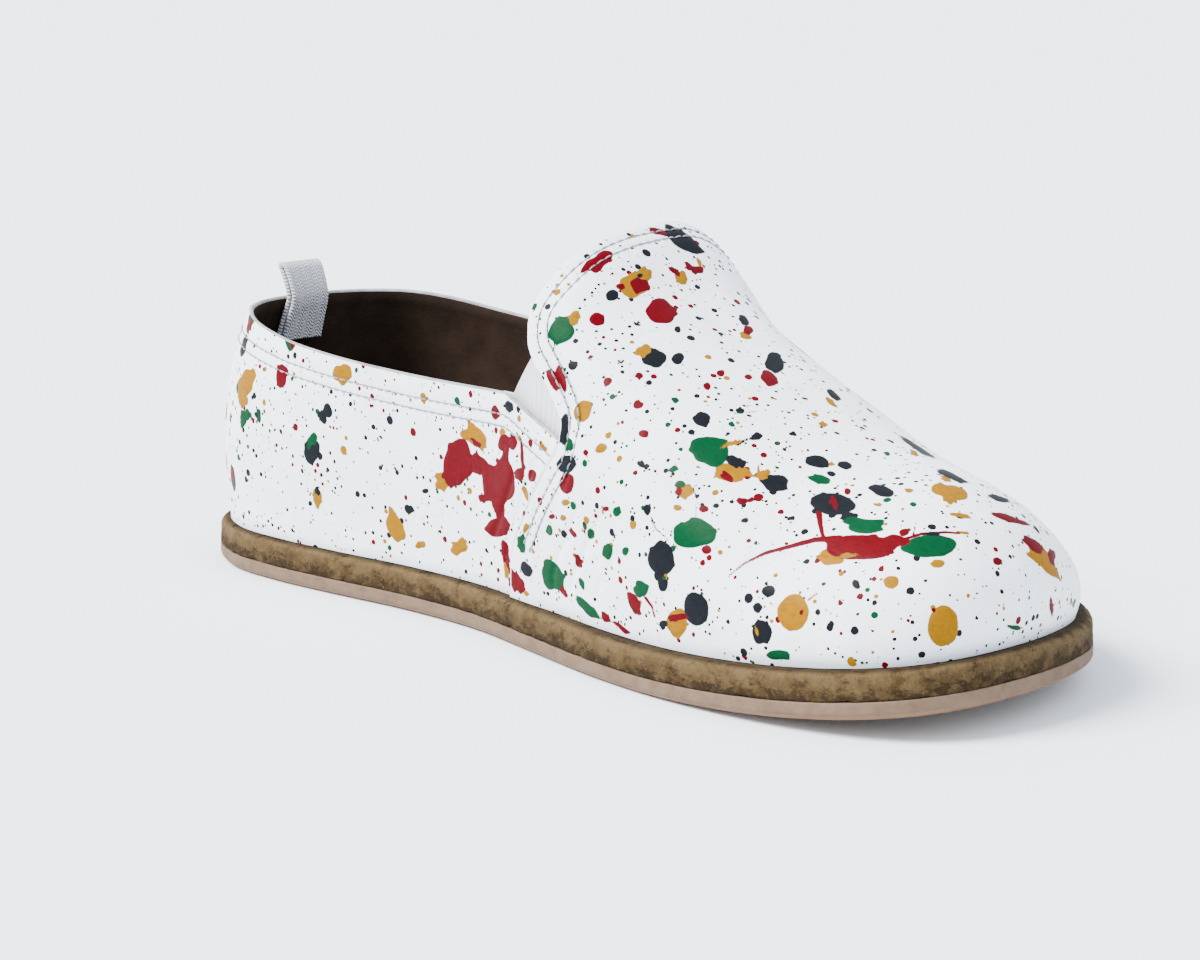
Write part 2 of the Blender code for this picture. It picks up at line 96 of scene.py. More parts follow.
def hermite(knots: np.ndarray, values: np.ndarray, at: np.ndarray) -> np.ndarray:
    """Smooth curve through values at uneven knots: cubic pieces with weighted central slopes.

    Args:
        knots: Places of the values, rising.
        values: Values at the knots.
        at: Places to read the curve at.

    Returns:
        The curve's values at those places.
    """
    steps = np.diff(knots)
    rises = np.diff(values) / steps
    slopes = np.empty_like(values)
    slopes[0] = rises[0]
    slopes[-1] = rises[-1]
    slopes[1:-1] = (rises[:-1] * steps[1:] + rises[1:] * steps[:-1]) / (steps[:-1] + steps[1:])
    at = np.clip(at, knots[0], knots[-1])
    cell = np.clip(np.searchsorted(knots, at, side="right") - 1, 0, len(knots) - 2)
    t = (at - knots[cell]) / steps[cell]
    low, high = values[cell], values[cell + 1]
    low_slope = slopes[cell] * steps[cell]
    high_slope = slopes[cell + 1] * steps[cell]
    return (low * (2 * t**3 - 3 * t**2 + 1) + low_slope * (t**3 - 2 * t**2 + t)
            + high * (3 * t**2 - 2 * t**3) + high_slope * (t**3 - t**2))


def smoothstep(t: np.ndarray) -> np.ndarray:
    """S-shaped blend from 0 to 1."""
    t = np.clip(t, 0.0, 1.0)
    return t * t * (3.0 - 2.0 * t)


def unit(vectors: np.ndarray) -> np.ndarray:
    """Vectors scaled to length one."""
    return vectors / np.maximum(np.linalg.norm(vectors, axis=-1, keepdims=True), 1e-12)


@dataclass(frozen=True)
class Last:
    """Form that the upper is pulled over: the same sizes and formula as the frame's solids."""

    length: float = 0.258
    ball_width: float = 0.112
    heel_width: float = 0.080
    instep_height: float = 0.0919
    toe_height: float = 0.0382
    heel_height: float = 0.0652
    collar: float = 0.0580
    gore_foot: float = 0.0504
    gore_top: float = 0.0706
    toe_spring: float = 0.0070
    feather: float = 0.0108
    toe_ledge: float = 0.0040
    heel_ledge: float = 0.0028
    side_bulge: float = 0.0018
    spring_start: float = 0.68
    waist_start: float = 0.25
    ball_start: float = 0.70
    crest_rear: float = 0.15
    crest_front: float = 0.86
    ledge_start: float = 0.30
    ledge_end: float = 0.70
    seam_station: float = 0.54
    corner_station: float = 0.505
    gore_foot_station: float = 0.586
    gore_top_station: float = 0.537
    swell_level: float = 0.2
    bend_reach: float = 0.85
    side_stretch: float = 1.12

    def __post_init__(self) -> None:
        """Works out the outline's common knots, its middle and the seam's column."""
        table = np.array(OUTLINE)
        width = self.local_width(table[:, 0])
        along = table[:, 0] * self.length
        inner = np.hypot(np.diff(along), np.diff(table[:, 1] * width))
        outer = np.hypot(np.diff(along), np.diff(table[:, 2] * width))
        chords = np.concatenate(([0.0], np.cumsum(inner + outer)))
        knots = chords / chords[-1]
        object.__setattr__(self, "knots", knots)
        columns = np.linspace(0.0, 1.0, 400)
        both = np.concatenate([self.raw_outline(side, columns) for side in Side])
        object.__setattr__(self, "centre", (both.min(axis=0) + both.max(axis=0)) / 2.0)
        object.__setattr__(self, "seam", self.column_at(self.seam_station))
        object.__setattr__(self, "side_length", self.length * self.side_stretch)

    def local_width(self, station: np.ndarray) -> np.ndarray:
        """Width of the sole that the outline's shares refer to."""
        blend = smoothstep((station - self.waist_start) / (self.ball_start - self.waist_start))
        return self.heel_width + blend * (self.ball_width - self.heel_width)

    def raw_outline(self, side: Side, column: np.ndarray) -> np.ndarray:
        """Sole outline before it is centred.

        Args:
            side: Side of the foot.
            column: Coordinate from 0, heel, to 1, toe.

        Returns:
            Points in plan; the curve runs on round the heel and the toe into the other side.
        """
        table = np.array(OUTLINE)
        width = self.local_width(table[:, 0])
        near, far = (1, 2) if side is Side.INNER else (2, 1)
        across = side.value * table[:, near] * width
        across_far = -side.value * table[:, far] * width
        along = table[:, 0] * self.length
        loop = np.concatenate((-self.knots[3:0:-1], self.knots, 2.0 - self.knots[-2:-5:-1]))
        loop_along = np.concatenate((along[3:0:-1], along, along[-2:-5:-1]))
        loop_across = np.concatenate((across_far[3:0:-1], across, across_far[-2:-5:-1]))
        return np.stack((hermite(loop, loop_along, column), hermite(loop, loop_across, column)), -1)

    def outline(self, side: Side, column: np.ndarray, inset: np.ndarray | float = 0.0) -> np.ndarray:
        """Outline moved inwards by an inset, square to itself.

        Args:
            side: Side of the foot.
            column: Coordinate from 0, heel, to 1, toe.
            inset: Distance inwards.

        Returns:
            Points in plan.
        """
        column = np.asarray(column, float)
        run = unit(self.raw_outline(side, column + 1e-4) - self.raw_outline(side, column - 1e-4))
        inward = np.stack((run[..., 1], -run[..., 0]), -1) * side.value
        inset = np.asarray(inset, float)
        return self.raw_outline(side, column) - self.centre + inward * inset[..., None]

    def station(self, x: np.ndarray) -> np.ndarray:
        """Share of the length from the heel."""
        return x / self.length + 0.5

    def spring(self, x: np.ndarray) -> np.ndarray:
        """Lift of the sole towards the toe."""
        share = (self.station(x) - self.spring_start) / (1.0 - self.spring_start)
        return self.toe_spring * np.clip(share, 0.0, 1.0)**2

    def ledge(self, column: np.ndarray) -> np.ndarray:
        """Width of the midsole that shows outside the upper."""
        share = (np.asarray(column, float) - self.ledge_start) / (self.ledge_end - self.ledge_start)
        return self.heel_ledge + smoothstep(share) * (self.toe_ledge - self.heel_ledge)

    def ridge(self, x: np.ndarray) -> tuple[np.ndarray, np.ndarray]:
        """Rise of the ridge above the feather line, and its place along Y.

        Args:
            x: Place along X.

        Returns:
            Two arrays, one number for each place.
        """
        table = np.array(RIDGE)
        at = self.station(x)
        rise = (hermite(table[:, 0], table[:, 1], at) * (self.instep_height - self.feather)
                + hermite(table[:, 0], table[:, 2], at) * (self.toe_height - self.feather))
        return rise, hermite(table[:, 0], table[:, 3], at) * self.ball_width

    def crest(self, column: np.ndarray) -> np.ndarray:
        """Plan point of the crest line where both sides meet.

        Args:
            column: Coordinate from 0, heel, to 1, toe.

        Returns:
            Points in plan, X and Y.
        """
        reach = self.raw_outline(Side.INNER, column)[..., 0] / self.length
        x = (self.crest_rear + (self.crest_front - self.crest_rear) * reach) * self.length
        x = x - self.centre[0]
        return np.stack((x, self.ridge(x)[1]), -1)

    def section(self, side: Side, column: np.ndarray) -> tuple[np.ndarray, np.ndarray, np.ndarray]:
        """Lean, rise and standing-out of the wall over a column.

        Args:
            side: Side of the foot.
            column: Coordinate from 0, heel, to 1, toe.

        Returns:
            Three arrays, one number for each column.
        """
        table = np.array(SECTIONS)
        first = 1 if side is Side.INNER else 4
        at = self.station(self.outline(side, column)[..., 0])
        lean, rise, out = (hermite(table[:, 0], table[:, first + k], at) for k in range(3))
        return lean, rise, out * self.ball_width

    def form(self, side: Side, column: np.ndarray, level: np.ndarray) -> np.ndarray:
        """Outer face of the upper.

        A column's plan point runs from the foot to the crest as 1 - cos to the power lean, and
        its height as sin to the power rise, with a swell outwards low down and half way up.

        Args:
            side: Side of the foot.
            column: Coordinate round the outline.
            level: 0 at the feather line, 1 at the crest.

        Returns:
            Points in space.
        """
        column, level = np.broadcast_arrays(np.asarray(column, float), np.asarray(level, float))
        angle = level * math.pi / 2.0
        foot = self.outline(side, column, self.ledge(column))
        lean_power, rise_power, out = self.section(side, column)
        lean = 1.0 - np.clip(np.cos(angle), 0.0, 1.0)**lean_power
        plan = foot + (self.crest(column) - foot) * lean[..., None]
        outwards = unit(foot - self.outline(side, column, self.ledge(column) + 0.001))
        low = level * (1.0 - level)**4 / (self.swell_level * (1.0 - self.swell_level)**4)
        swell = self.side_bulge * low + out * np.sin(np.clip(level, 0.0, 1.0) * math.pi)**1.5
        plan = plan + outwards * swell[..., None]
        rise = self.ridge(plan[..., 0])[0] * np.clip(np.sin(angle), 0.0, 1.0)**rise_power
        height = self.feather + self.spring(plan[..., 0]) + rise
        return np.stack((plan[..., 0], plan[..., 1], height), -1)

    def slopes(self, side: Side, column: np.ndarray, level: np.ndarray) -> tuple[np.ndarray, np.ndarray]:
        """Derivatives of the form along the column and the level coordinate.

        Args:
            side: Side of the foot.
            column: Coordinate from 0, heel, to 1, toe.
            level: 0 at the feather line, 1 at the crest.

        Returns:
            Two arrays of vectors.
        """
        step = 1e-3
        below = np.clip(level, step, 1.0 - 4.0 * step)
        along = self.form(side, column + step, below) - self.form(side, column - step, below)
        up = self.form(side, column, below + step) - self.form(side, column, below - step)
        return along / (2.0 * step), up / (2.0 * step)

    def outward(self, side: Side, column: np.ndarray, level: np.ndarray) -> np.ndarray:
        """Unit normal of the form, shared by both sides at the crest.

        Args:
            side: Side of the foot.
            column: Coordinate from 0, heel, to 1, toe.
            level: 0 at the feather line, 1 at the crest.

        Returns:
            Unit vectors away from the foot.
        """
        column, level = np.broadcast_arrays(np.asarray(column, float), np.asarray(level, float))
        along, up = self.slopes(side, column, level)
        normal = unit(np.cross(along, up) * -side.value)
        other = Side.OUTER if side is Side.INNER else Side.INNER
        far_along, far_up = self.slopes(other, column, level)
        far = unit(np.cross(far_along, far_up) * -other.value)
        return np.where((level >= 1.0 - 1e-9)[..., None], unit(normal + far), normal)

    def place(self, side: Side, column: np.ndarray, level: np.ndarray,
              depth: np.ndarray | float = 0.0) -> tuple[np.ndarray, np.ndarray]:
        """Point of the form moved towards the foot by a depth, and its normal.

        Args:
            side: Side of the foot.
            column: Coordinate from 0, heel, to 1, toe.
            level: 0 at the feather line, 1 at the crest.
            depth: Distance inwards, in metres.

        Returns:
            Points and unit normals.
        """
        column, level = np.broadcast_arrays(np.asarray(column, float), np.asarray(level, float))
        normal = self.outward(side, column, level)
        depth = np.broadcast_to(np.asarray(depth, float), level.shape)
        return self.form(side, column, level) - normal * depth[..., None], normal

    def column_at(self, station: float) -> float:
        """Column whose outline point lies at a station.

        Args:
            station: Share of the length, from the heel.

        Returns:
            The column.
        """
        columns = np.linspace(0.0, 1.0, 2000)
        reached = self.raw_outline(Side.INNER, columns)[:, 0] / self.length
        return float(np.interp(station, reached, columns))

    def rise_share(self, side: Side, column: np.ndarray, level: np.ndarray) -> np.ndarray:
        """Share of the ridge's rise reached at a level of a column."""
        return np.sin(np.asarray(level) * math.pi / 2.0)**self.section(side, column)[1]

    def bent(self, side: Side, column: np.ndarray, level: np.ndarray) -> np.ndarray:
        """Column after the columns near the seam are bent along the vamp's rear edge.

        Args:
            side: Side of the foot.
            column: Columns before they are bent.
            level: 0 at the feather line, 1 at the crest.

        Returns:
            Bent columns.
        """
        column, level = np.broadcast_arrays(np.asarray(column, float), np.asarray(level, float))
        path = np.array(SEAM_PATH)
        share = self.rise_share(side, np.asarray(self.seam), np.clip(level, 0.0, 1.0))
        shift = hermite(path[:, 0], path[:, 1], share) * self.length / self.side_length
        reach = np.where(column < self.seam, self.seam, 1.0 - self.seam) * self.bend_reach
        near = 1.0 - smoothstep(np.abs(column - self.seam) / reach)
        return column + shift * near

    def family(self, side: Side, columns: np.ndarray) -> Callable[[np.ndarray], np.ndarray]:
        """Bent columns as a function of a line of levels, one line per column."""
        return lambda levels: self.bent(side, columns[:, None], levels)

    def collar_height(self, x: np.ndarray) -> np.ndarray:
        """Height of the quarter's top edge, down the gore's slope in front.

        Args:
            x: Place along X.

        Returns:
            Heights in metres.
        """
        at = self.station(x)
        table = np.array(COLLAR)
        back = self.collar + hermite(table[:, 0], table[:, 1], at) * (self.heel_height - self.collar)
        slope = (self.gore_foot - self.collar) / (self.gore_foot_station - self.corner_station)
        return np.where(at > self.corner_station, self.collar + slope * (at - self.corner_station), back)

    def gore_height(self, x: np.ndarray) -> np.ndarray:
        """Height of the gore's top edge."""
        slope = (self.gore_top - self.collar) / (self.gore_top_station - self.corner_station)
        return self.collar + slope * (self.station(x) - self.corner_station)

    def level_where(self, side: Side, path: Callable[[np.ndarray], np.ndarray],
                    height_at: Callable[[np.ndarray], np.ndarray]) -> np.ndarray:
        """Level where each column of a family reaches a height that depends on X.

        Args:
            side: Side of the foot.
            path: Columns, one per line, for a line of levels.
            height_at: Height to reach, from X.

        Returns:
            One level per column.
        """
        levels = np.linspace(0.0, 1.0, 500)
        columns = path(levels)
        points = self.form(side, columns, np.broadcast_to(levels, columns.shape))
        above = points[..., 2] - height_at(points[..., 0])
        first = np.argmax(above > 0.0, axis=-1)
        line = np.arange(len(columns))
        low, high = above[line, first - 1], above[line, first]
        return levels[first - 1] - low / (high - low) * (levels[1] - levels[0])

    def walk(self, side: Side, column: np.ndarray, level: np.ndarray,
             move: np.ndarray) -> tuple[np.ndarray, np.ndarray]:
        """Coordinates after a small move along the form, solved from its two slopes.

        Args:
            side: Side of the foot.
            column: Coordinate from 0, heel, to 1, toe.
            level: 0 at the feather line, 1 at the crest.
            move: Small vector, in metres.

        Returns:
            New columns and levels.
        """
        along, up = self.slopes(side, column, level)
        aa = (along * along).sum(-1)
        uu = (up * up).sum(-1)
        au = (along * up).sum(-1)
        ma = (move * along).sum(-1)
        mu = (move * up).sum(-1)
        det = aa * uu - au * au
        return column + (ma * uu - mu * au) / det, level + (mu * aa - ma * au) / det


LAST = Last()
WALL = 0.0018
LAP_STEP = 0.0010
LAP_FADE = 0.0140
GAP = 0.0003
OUTSOLE_THICKNESS = 0.0040
MIDSOLE_THICKNESS = 0.0062
# Ribs of the elastic, in millimetres
RIB_PITCH = 0.75
# Stored where no splat or overlap is near, in millimetres
FAR = 9.0
# Keeps round coordinates off the rounding edge when points are welded
WELD_SHIFT = 0.137


class Signal:
    """Shader value wrapped so that Python expressions add its Math nodes."""

    def __init__(self, shader: "Shader", socket: bpy.types.NodeSocket) -> None:
        """Keeps the material's builder and the socket."""
        self.shader = shader
        self.socket = socket

    def math(self, operation: str, first: "Signal | float", second: "Signal | float" = 0.0,
             clamp: bool = False) -> "Signal":
        """Result of a Math node on two values.

        Args:
            operation: The node's operation.
            first: First value.
            second: Second value.
            clamp: Whether the result stays from 0 to 1.

        Returns:
            The node's output.
        """
        node = self.shader.node("ShaderNodeMath", {"operation": operation, "use_clamp": clamp},
                                {0: first, 1: second})
        return Signal(self.shader, node.outputs[0])

    def __add__(self, other: "Signal | float") -> "Signal":
        """Sum."""
        return self.math("ADD", self, other)

    def __radd__(self, other: float) -> "Signal":
        """Sum, reflected."""
        return self.math("ADD", other, self)

    def __sub__(self, other: "Signal | float") -> "Signal":
        """Difference."""
        return self.math("SUBTRACT", self, other)

    def __rsub__(self, other: float) -> "Signal":
        """Difference, reflected."""
        return self.math("SUBTRACT", other, self)

    def __mul__(self, other: "Signal | float") -> "Signal":
        """Product."""
        return self.math("MULTIPLY", self, other)

    def above(self, edge: float, soft: float) -> "Signal":
        """Mask that rises from 0 to 1 over a soft width from an edge."""
        return self.math("MULTIPLY", self - edge, 1.0 / soft, clamp=True)

    def sine(self) -> "Signal":
        """Sine in radians."""
        return self.math("SINE", self)

    def most(self, other: "Signal | float") -> "Signal":
        """Greater of two values."""
        return self.math("MAXIMUM", self, other)


Colour = tuple[float, float, float]


class Shader:
    """Node tree of one material, with its Principled shader."""

    def __init__(self, name: str, colour: Colour, roughness: float, **constants: float) -> None:
        """Starts a material.

        Args:
            name: Material's name.
            colour: Base colour before any pattern.
            roughness: Roughness before any pattern.
            **constants: Other sockets of the shader, with _ for a space.
        """
        self.material = bpy.data.materials.new(name)
        self.material.use_nodes = True
        self.tree = self.material.node_tree
        self.surface = self.tree.nodes["Principled BSDF"]
        self.surface.inputs["Base Color"].default_value = (*colour, 1.0)
        self.surface.inputs["Roughness"].default_value = roughness
        for key, value in constants.items():
            self.surface.inputs[key.replace("_", " ")].default_value = value

    def node(self, kind: str, settings: dict, values: dict) -> bpy.types.Node:
        """Adds a node.

        Args:
            kind: Type of node.
            settings: Properties, set first.
            values: Number, colour, vector, Signal or socket for each input, by name or number.

        Returns:
            The node.
        """
        node = self.tree.nodes.new(kind)
        for key, value in settings.items():
            setattr(node, key, value)
        for key, value in values.items():
            socket = node.inputs[key]
            if isinstance(value, Signal):
                value = value.socket
            if isinstance(value, bpy.types.NodeSocket):
                self.tree.links.new(value, socket)
            elif socket.type == "RGBA" and len(value) == 3:
                socket.default_value = (*value, 1.0)
            else:
                socket.default_value = value
        return node

    def position(self, stretch: Sequence[float] = (1.0, 1.0, 1.0),
                 turn: Sequence[float] = (0.0, 0.0, 0.0)) -> Signal:
        """Object coordinates in millimetres, stretched and turned.

        Args:
            stretch: Factor along each axis.
            turn: Turn about each axis, in radians.

        Returns:
            The coordinates.
        """
        coordinates = self.node("ShaderNodeTexCoord", {}, {})
        scale = tuple(value / MM for value in stretch)
        mapping = self.node("ShaderNodeMapping", {}, {"Vector": coordinates.outputs["Object"],
                                                      "Scale": scale, "Rotation": turn})
        return Signal(self, mapping.outputs[0])

    def attribute(self, name: str, output: str = "Fac") -> Signal:
        """Value stored on the mesh's points."""
        node = self.node("ShaderNodeAttribute", {"attribute_name": name}, {})
        return Signal(self, node.outputs[output])

    def parts(self, vector: Signal) -> tuple[Signal, Signal, Signal]:
        """Three numbers of a vector or colour."""
        node = self.node("ShaderNodeSeparateXYZ", {}, {0: vector})
        return tuple(Signal(self, output) for output in node.outputs)

    def noise(self, vector: Signal, scale: float, detail: float = 2.0, roughness: float = 0.5,
              output: int | str = 0) -> Signal:
        """Noise from 0 to 1 at features per millimetre, or three of them as output Color.

        Args:
            vector: Where to read it.
            scale: Features per millimetre.
            detail: Count of finer octaves.
            roughness: Share of each finer octave.
            output: Output of the node, by number or name.

        Returns:
            The noise.
        """
        node = self.node("ShaderNodeTexNoise", {}, {"Vector": vector, "Scale": scale, "Detail": detail,
                                                    "Roughness": roughness})
        return Signal(self, node.outputs[output])

    def cells(self, vector: Signal, scale: float) -> tuple[Signal, Signal]:
        """Distance to the nearest cell centre in cell widths, and the cell's random colour."""
        node = self.node("ShaderNodeTexVoronoi", {}, {"Vector": vector, "Scale": scale})
        return Signal(self, node.outputs["Distance"]), Signal(self, node.outputs["Color"])

    def mix(self, factor: Signal | float, first: "Signal | Colour", second: "Signal | Colour") -> Signal:
        """Blend of two colours."""
        node = self.node("ShaderNodeMix", {"data_type": "RGBA"}, {0: factor, 6: first, 7: second})
        return Signal(self, node.outputs[2])

    def shifted(self, vector: Signal, by: Signal, amount: float) -> Signal:
        """Vector moved by an amount of another.

        Args:
            vector: Vector to move.
            by: Noise vector that moves it.
            amount: How far it moves.

        Returns:
            The moved vector.
        """
        node = self.node("ShaderNodeVectorMath", {"operation": "MULTIPLY_ADD"},
                         {0: by, 1: (amount,) * 3, 2: vector})
        return Signal(self, node.outputs[0])

    def steps(self, value: Signal, stops: Sequence[tuple[float, Colour]]) -> Signal:
        """Colour by bands of a value.

        Args:
            value: Value from 0 to 1.
            stops: Lower end and colour of each band.

        Returns:
            The colour.
        """
        node = self.node("ShaderNodeValToRGB", {}, {0: value})
        ramp = node.color_ramp
        ramp.interpolation = "CONSTANT"
        while len(ramp.elements) < len(stops):
            ramp.elements.new(0.5)
        for element, (place, colour) in zip(ramp.elements, stops):
            element.position = place
            element.color = (*colour, 1.0)
        return Signal(self, node.outputs[0])

    def finish(self, colour: Signal | None = None, roughness: Signal | None = None,
               height: Signal | None = None, strength: float = 1.0) -> bpy.types.Material:
        """Links the varying inputs and returns the material.

        Args:
            colour: Base colour.
            roughness: Roughness.
            height: Relief in millimetres, for a Bump node.
            strength: Strength of the relief.

        Returns:
            The finished material.
        """
        if colour is not None:
            self.tree.links.new(colour.socket, self.surface.inputs["Base Color"])
        if roughness is not None:
            self.tree.links.new(roughness.socket, self.surface.inputs["Roughness"])
        if height is not None:
            bump = self.node("ShaderNodeBump", {}, {"Height": height, "Distance": MM, "Strength": strength})
            self.tree.links.new(bump.outputs[0], self.surface.inputs["Normal"])
        return self.material



@dataclass
class Patch:
    """Grid of points with the side that its face is seen from and values stored on it."""

    points: np.ndarray
    outside: np.ndarray
    slot: int = 0
    values: dict[str, np.ndarray] = field(default_factory=dict)


def strip(points: np.ndarray, outside: np.ndarray, slot: int = 0,
          values: dict[str, np.ndarray] | None = None) -> Patch:
    """Narrow patch seen from one direction, or from one per column, with values per column.

    Args:
        points: Rows of points.
        outside: Direction, or one per column.
        slot: Material number.
        values: Numbers per column, or per point as the rows give them.

    Returns:
        The patch.
    """
    shape = points.shape[:2]
    spread = {key: np.broadcast_to(value, shape) for key, value in (values or {}).items()}
    return Patch(points, np.broadcast_to(outside, points.shape), slot, spread)


def grid_quads(rows: int, columns: int) -> np.ndarray:
    """Corner numbers of the quads of a grid, row by row."""
    index = np.arange(rows * columns).reshape(rows, columns)
    return np.stack((index[:-1, :-1], index[:-1, 1:], index[1:, 1:], index[1:, :-1]), -1).reshape(-1, 4)


def copies(faces: np.ndarray, count: int, size: int) -> np.ndarray:
    """Faces of many copies of a small mesh, each of a size in points."""
    starts = np.arange(count) * size
    return (faces[None] + starts[:, None, None]).reshape(-1, faces.shape[1])


def mesh_object(name: str, node: str | None, points: np.ndarray, faces: np.ndarray,
                materials: Sequence[bpy.types.Material], slots: np.ndarray | None = None,
                values: dict[str, np.ndarray] | None = None) -> bpy.types.Object:
    """Smooth-shaded object at the origin from arrays.

    Args:
        name: Object's name.
        node: Node of the frame that it replaces, or None.
        points: Points in space.
        faces: Corner numbers, three or four to a face.
        materials: Materials of the object.
        slots: Material number of each face; the first where None.
        values: Number per point, by attribute name.

    Returns:
        The object, linked to the scene.
    """
    if slots is None:
        slots = np.zeros(len(faces))
    mesh = bpy.data.meshes.new(name)
    mesh.vertices.add(len(points))
    mesh.vertices.foreach_set("co", np.ascontiguousarray(points, np.float32).ravel())
    corners = faces.shape[1]
    mesh.loops.add(faces.size)
    mesh.loops.foreach_set("vertex_index", np.ascontiguousarray(faces, np.int32).ravel())
    mesh.polygons.add(len(faces))
    mesh.polygons.foreach_set("loop_start", np.arange(0, faces.size, corners, dtype=np.int32))
    mesh.polygons.foreach_set("material_index", np.ascontiguousarray(slots, np.int32))
    mesh.polygons.foreach_set("use_smooth", np.full(len(faces), True))
    mesh.update(calc_edges=True)
    mesh.validate()
    for key, value in (values or {}).items():
        attribute = mesh.attributes.new(key, "FLOAT", "POINT")
        attribute.data.foreach_set("value", np.ascontiguousarray(value, np.float32).ravel())
    for material in materials:
        mesh.materials.append(material)
    piece = bpy.data.objects.new(name, mesh)
    bpy.context.scene.collection.objects.link(piece)
    if node:
        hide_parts(node)
    return piece


def welded(name: str, node: str, patches: Sequence[Patch],
           materials: Sequence[bpy.types.Material]) -> bpy.types.Object:
    """One welded object from patches, shown in place of a node.

    Each patch's quads are turned so that they face its outside; points nearer than a
    micrometre become one.

    Args:
        name: Object's name.
        node: Node of the frame that it replaces.
        patches: Grids to join.
        materials: Materials that the patches' slots number.

    Returns:
        The object.
    """
    points, faces, slots = [], [], []
    values: dict[str, list[np.ndarray]] = {key: [] for key in sorted({k for patch in patches
                                                                      for k in patch.values})}
    start = 0
    for patch in patches:
        quads = grid_quads(*patch.points.shape[:2])
        flat = patch.points.reshape(-1, 3)
        across = np.cross(flat[quads[:, 2]] - flat[quads[:, 0]], flat[quads[:, 3]] - flat[quads[:, 1]])
        side = (across * patch.outside.reshape(-1, 3)[quads[:, 0]]).sum(-1)
        if np.median(side) < 0.0:
            quads = quads[:, ::-1]
        points.append(flat)
        faces.append(quads + start)
        slots.append(np.full(len(quads), patch.slot))
        for key, stored in values.items():
            stored.append(patch.values.get(key, np.full(len(flat), FAR)).ravel())
        start += len(flat)
    cloud = np.concatenate(points)
    rounded = np.round(cloud * 1e6 + WELD_SHIFT).astype(np.int64)
    _, first, number = np.unique(rounded, axis=0, return_index=True, return_inverse=True)
    quads = number.ravel()[np.concatenate(faces)]
    whole = (quads != np.roll(quads, 1, axis=1)).all(axis=1)
    return mesh_object(name, node, cloud[first], quads[whole], materials, np.concatenate(slots)[whole],
                       {key: np.concatenate(stored)[first] for key, stored in values.items()})


def undulation(points: np.ndarray, reach: float, seed: int, waves: int = 14) -> np.ndarray:
    """Soft random relief from about -1 to 1: a sum of sine waves in random directions.

    Args:
        points: Points in space.
        reach: Shortest wavelength in metres; the longest is four times that.
        seed: Seed of the directions.
        waves: Count of the waves.

    Returns:
        One value per point.
    """
    rng = np.random.default_rng(seed)
    total = np.zeros(points.shape[:-1])
    for _ in range(waves):
        direction = unit(rng.normal(size=3))
        length = reach * rng.uniform(1.0, 4.0)
        total += np.sin(points @ direction * 2.0 * math.pi / length + rng.uniform(0.0, 2.0 * math.pi))
    return total / math.sqrt(waves) / 1.6


def lengths(points: np.ndarray, axis: int = 0) -> np.ndarray:
    """Running length of lines of points along an axis, from 0."""
    steps = np.diff(points, axis=axis, prepend=np.take(points, [0], axis=axis))
    return np.cumsum(np.linalg.norm(steps, axis=-1), axis=axis)


def read(at: np.ndarray, length: np.ndarray, vectors: np.ndarray) -> np.ndarray:
    """Vectors of a line at some running lengths."""
    return np.stack([np.interp(at, length, vectors[:, k]) for k in range(3)], -1)


def meeting(first: np.ndarray, second: np.ndarray) -> np.ndarray:
    """One line from two halves that run to the same point."""
    return np.concatenate((first, second[::-1][1:]))


def even_levels(side: Side, columns: np.ndarray, low: np.ndarray, high: np.ndarray,
                rows: int) -> np.ndarray:
    """Levels evenly spaced along each bent column's length.

    Args:
        side: Side of the foot.
        columns: Columns before they are bent.
        low: Level where each column starts.
        high: Level where each column ends.
        rows: Count of levels to return.

    Returns:
        Levels, one line per column.
    """
    share = 1.0 - (1.0 - np.linspace(0.0, 1.0, 260))**2.2
    levels = low[:, None] + (high - low)[:, None] * share
    points = LAST.form(side, LAST.bent(side, columns[:, None], levels), levels)
    wanted = np.linspace(0.0, 1.0, rows)
    return np.stack([np.interp(wanted * line[-1], line, level)
                     for line, level in zip(lengths(points, 1), levels)])


class Pigment(Enum):
    """Paint on the leather: attribute key and colour."""

    YELLOW = ("y", (0.225, 0.098, 0.0))
    GREEN = ("g", (0.0006, 0.040, 0.013))
    CRIMSON = ("r", (0.084, 0.0, 0.003))
    CHARCOAL = ("k", (0.0058, 0.0068, 0.0090))

    @property
    def key(self) -> str:
        """Short key of the pigment."""
        return self.value[0]

    @property
    def colour(self) -> Colour:
        """Colour of the pigment."""
        return self.value[1]


PIGMENTS = {pigment.key: pigment for pigment in Pigment}

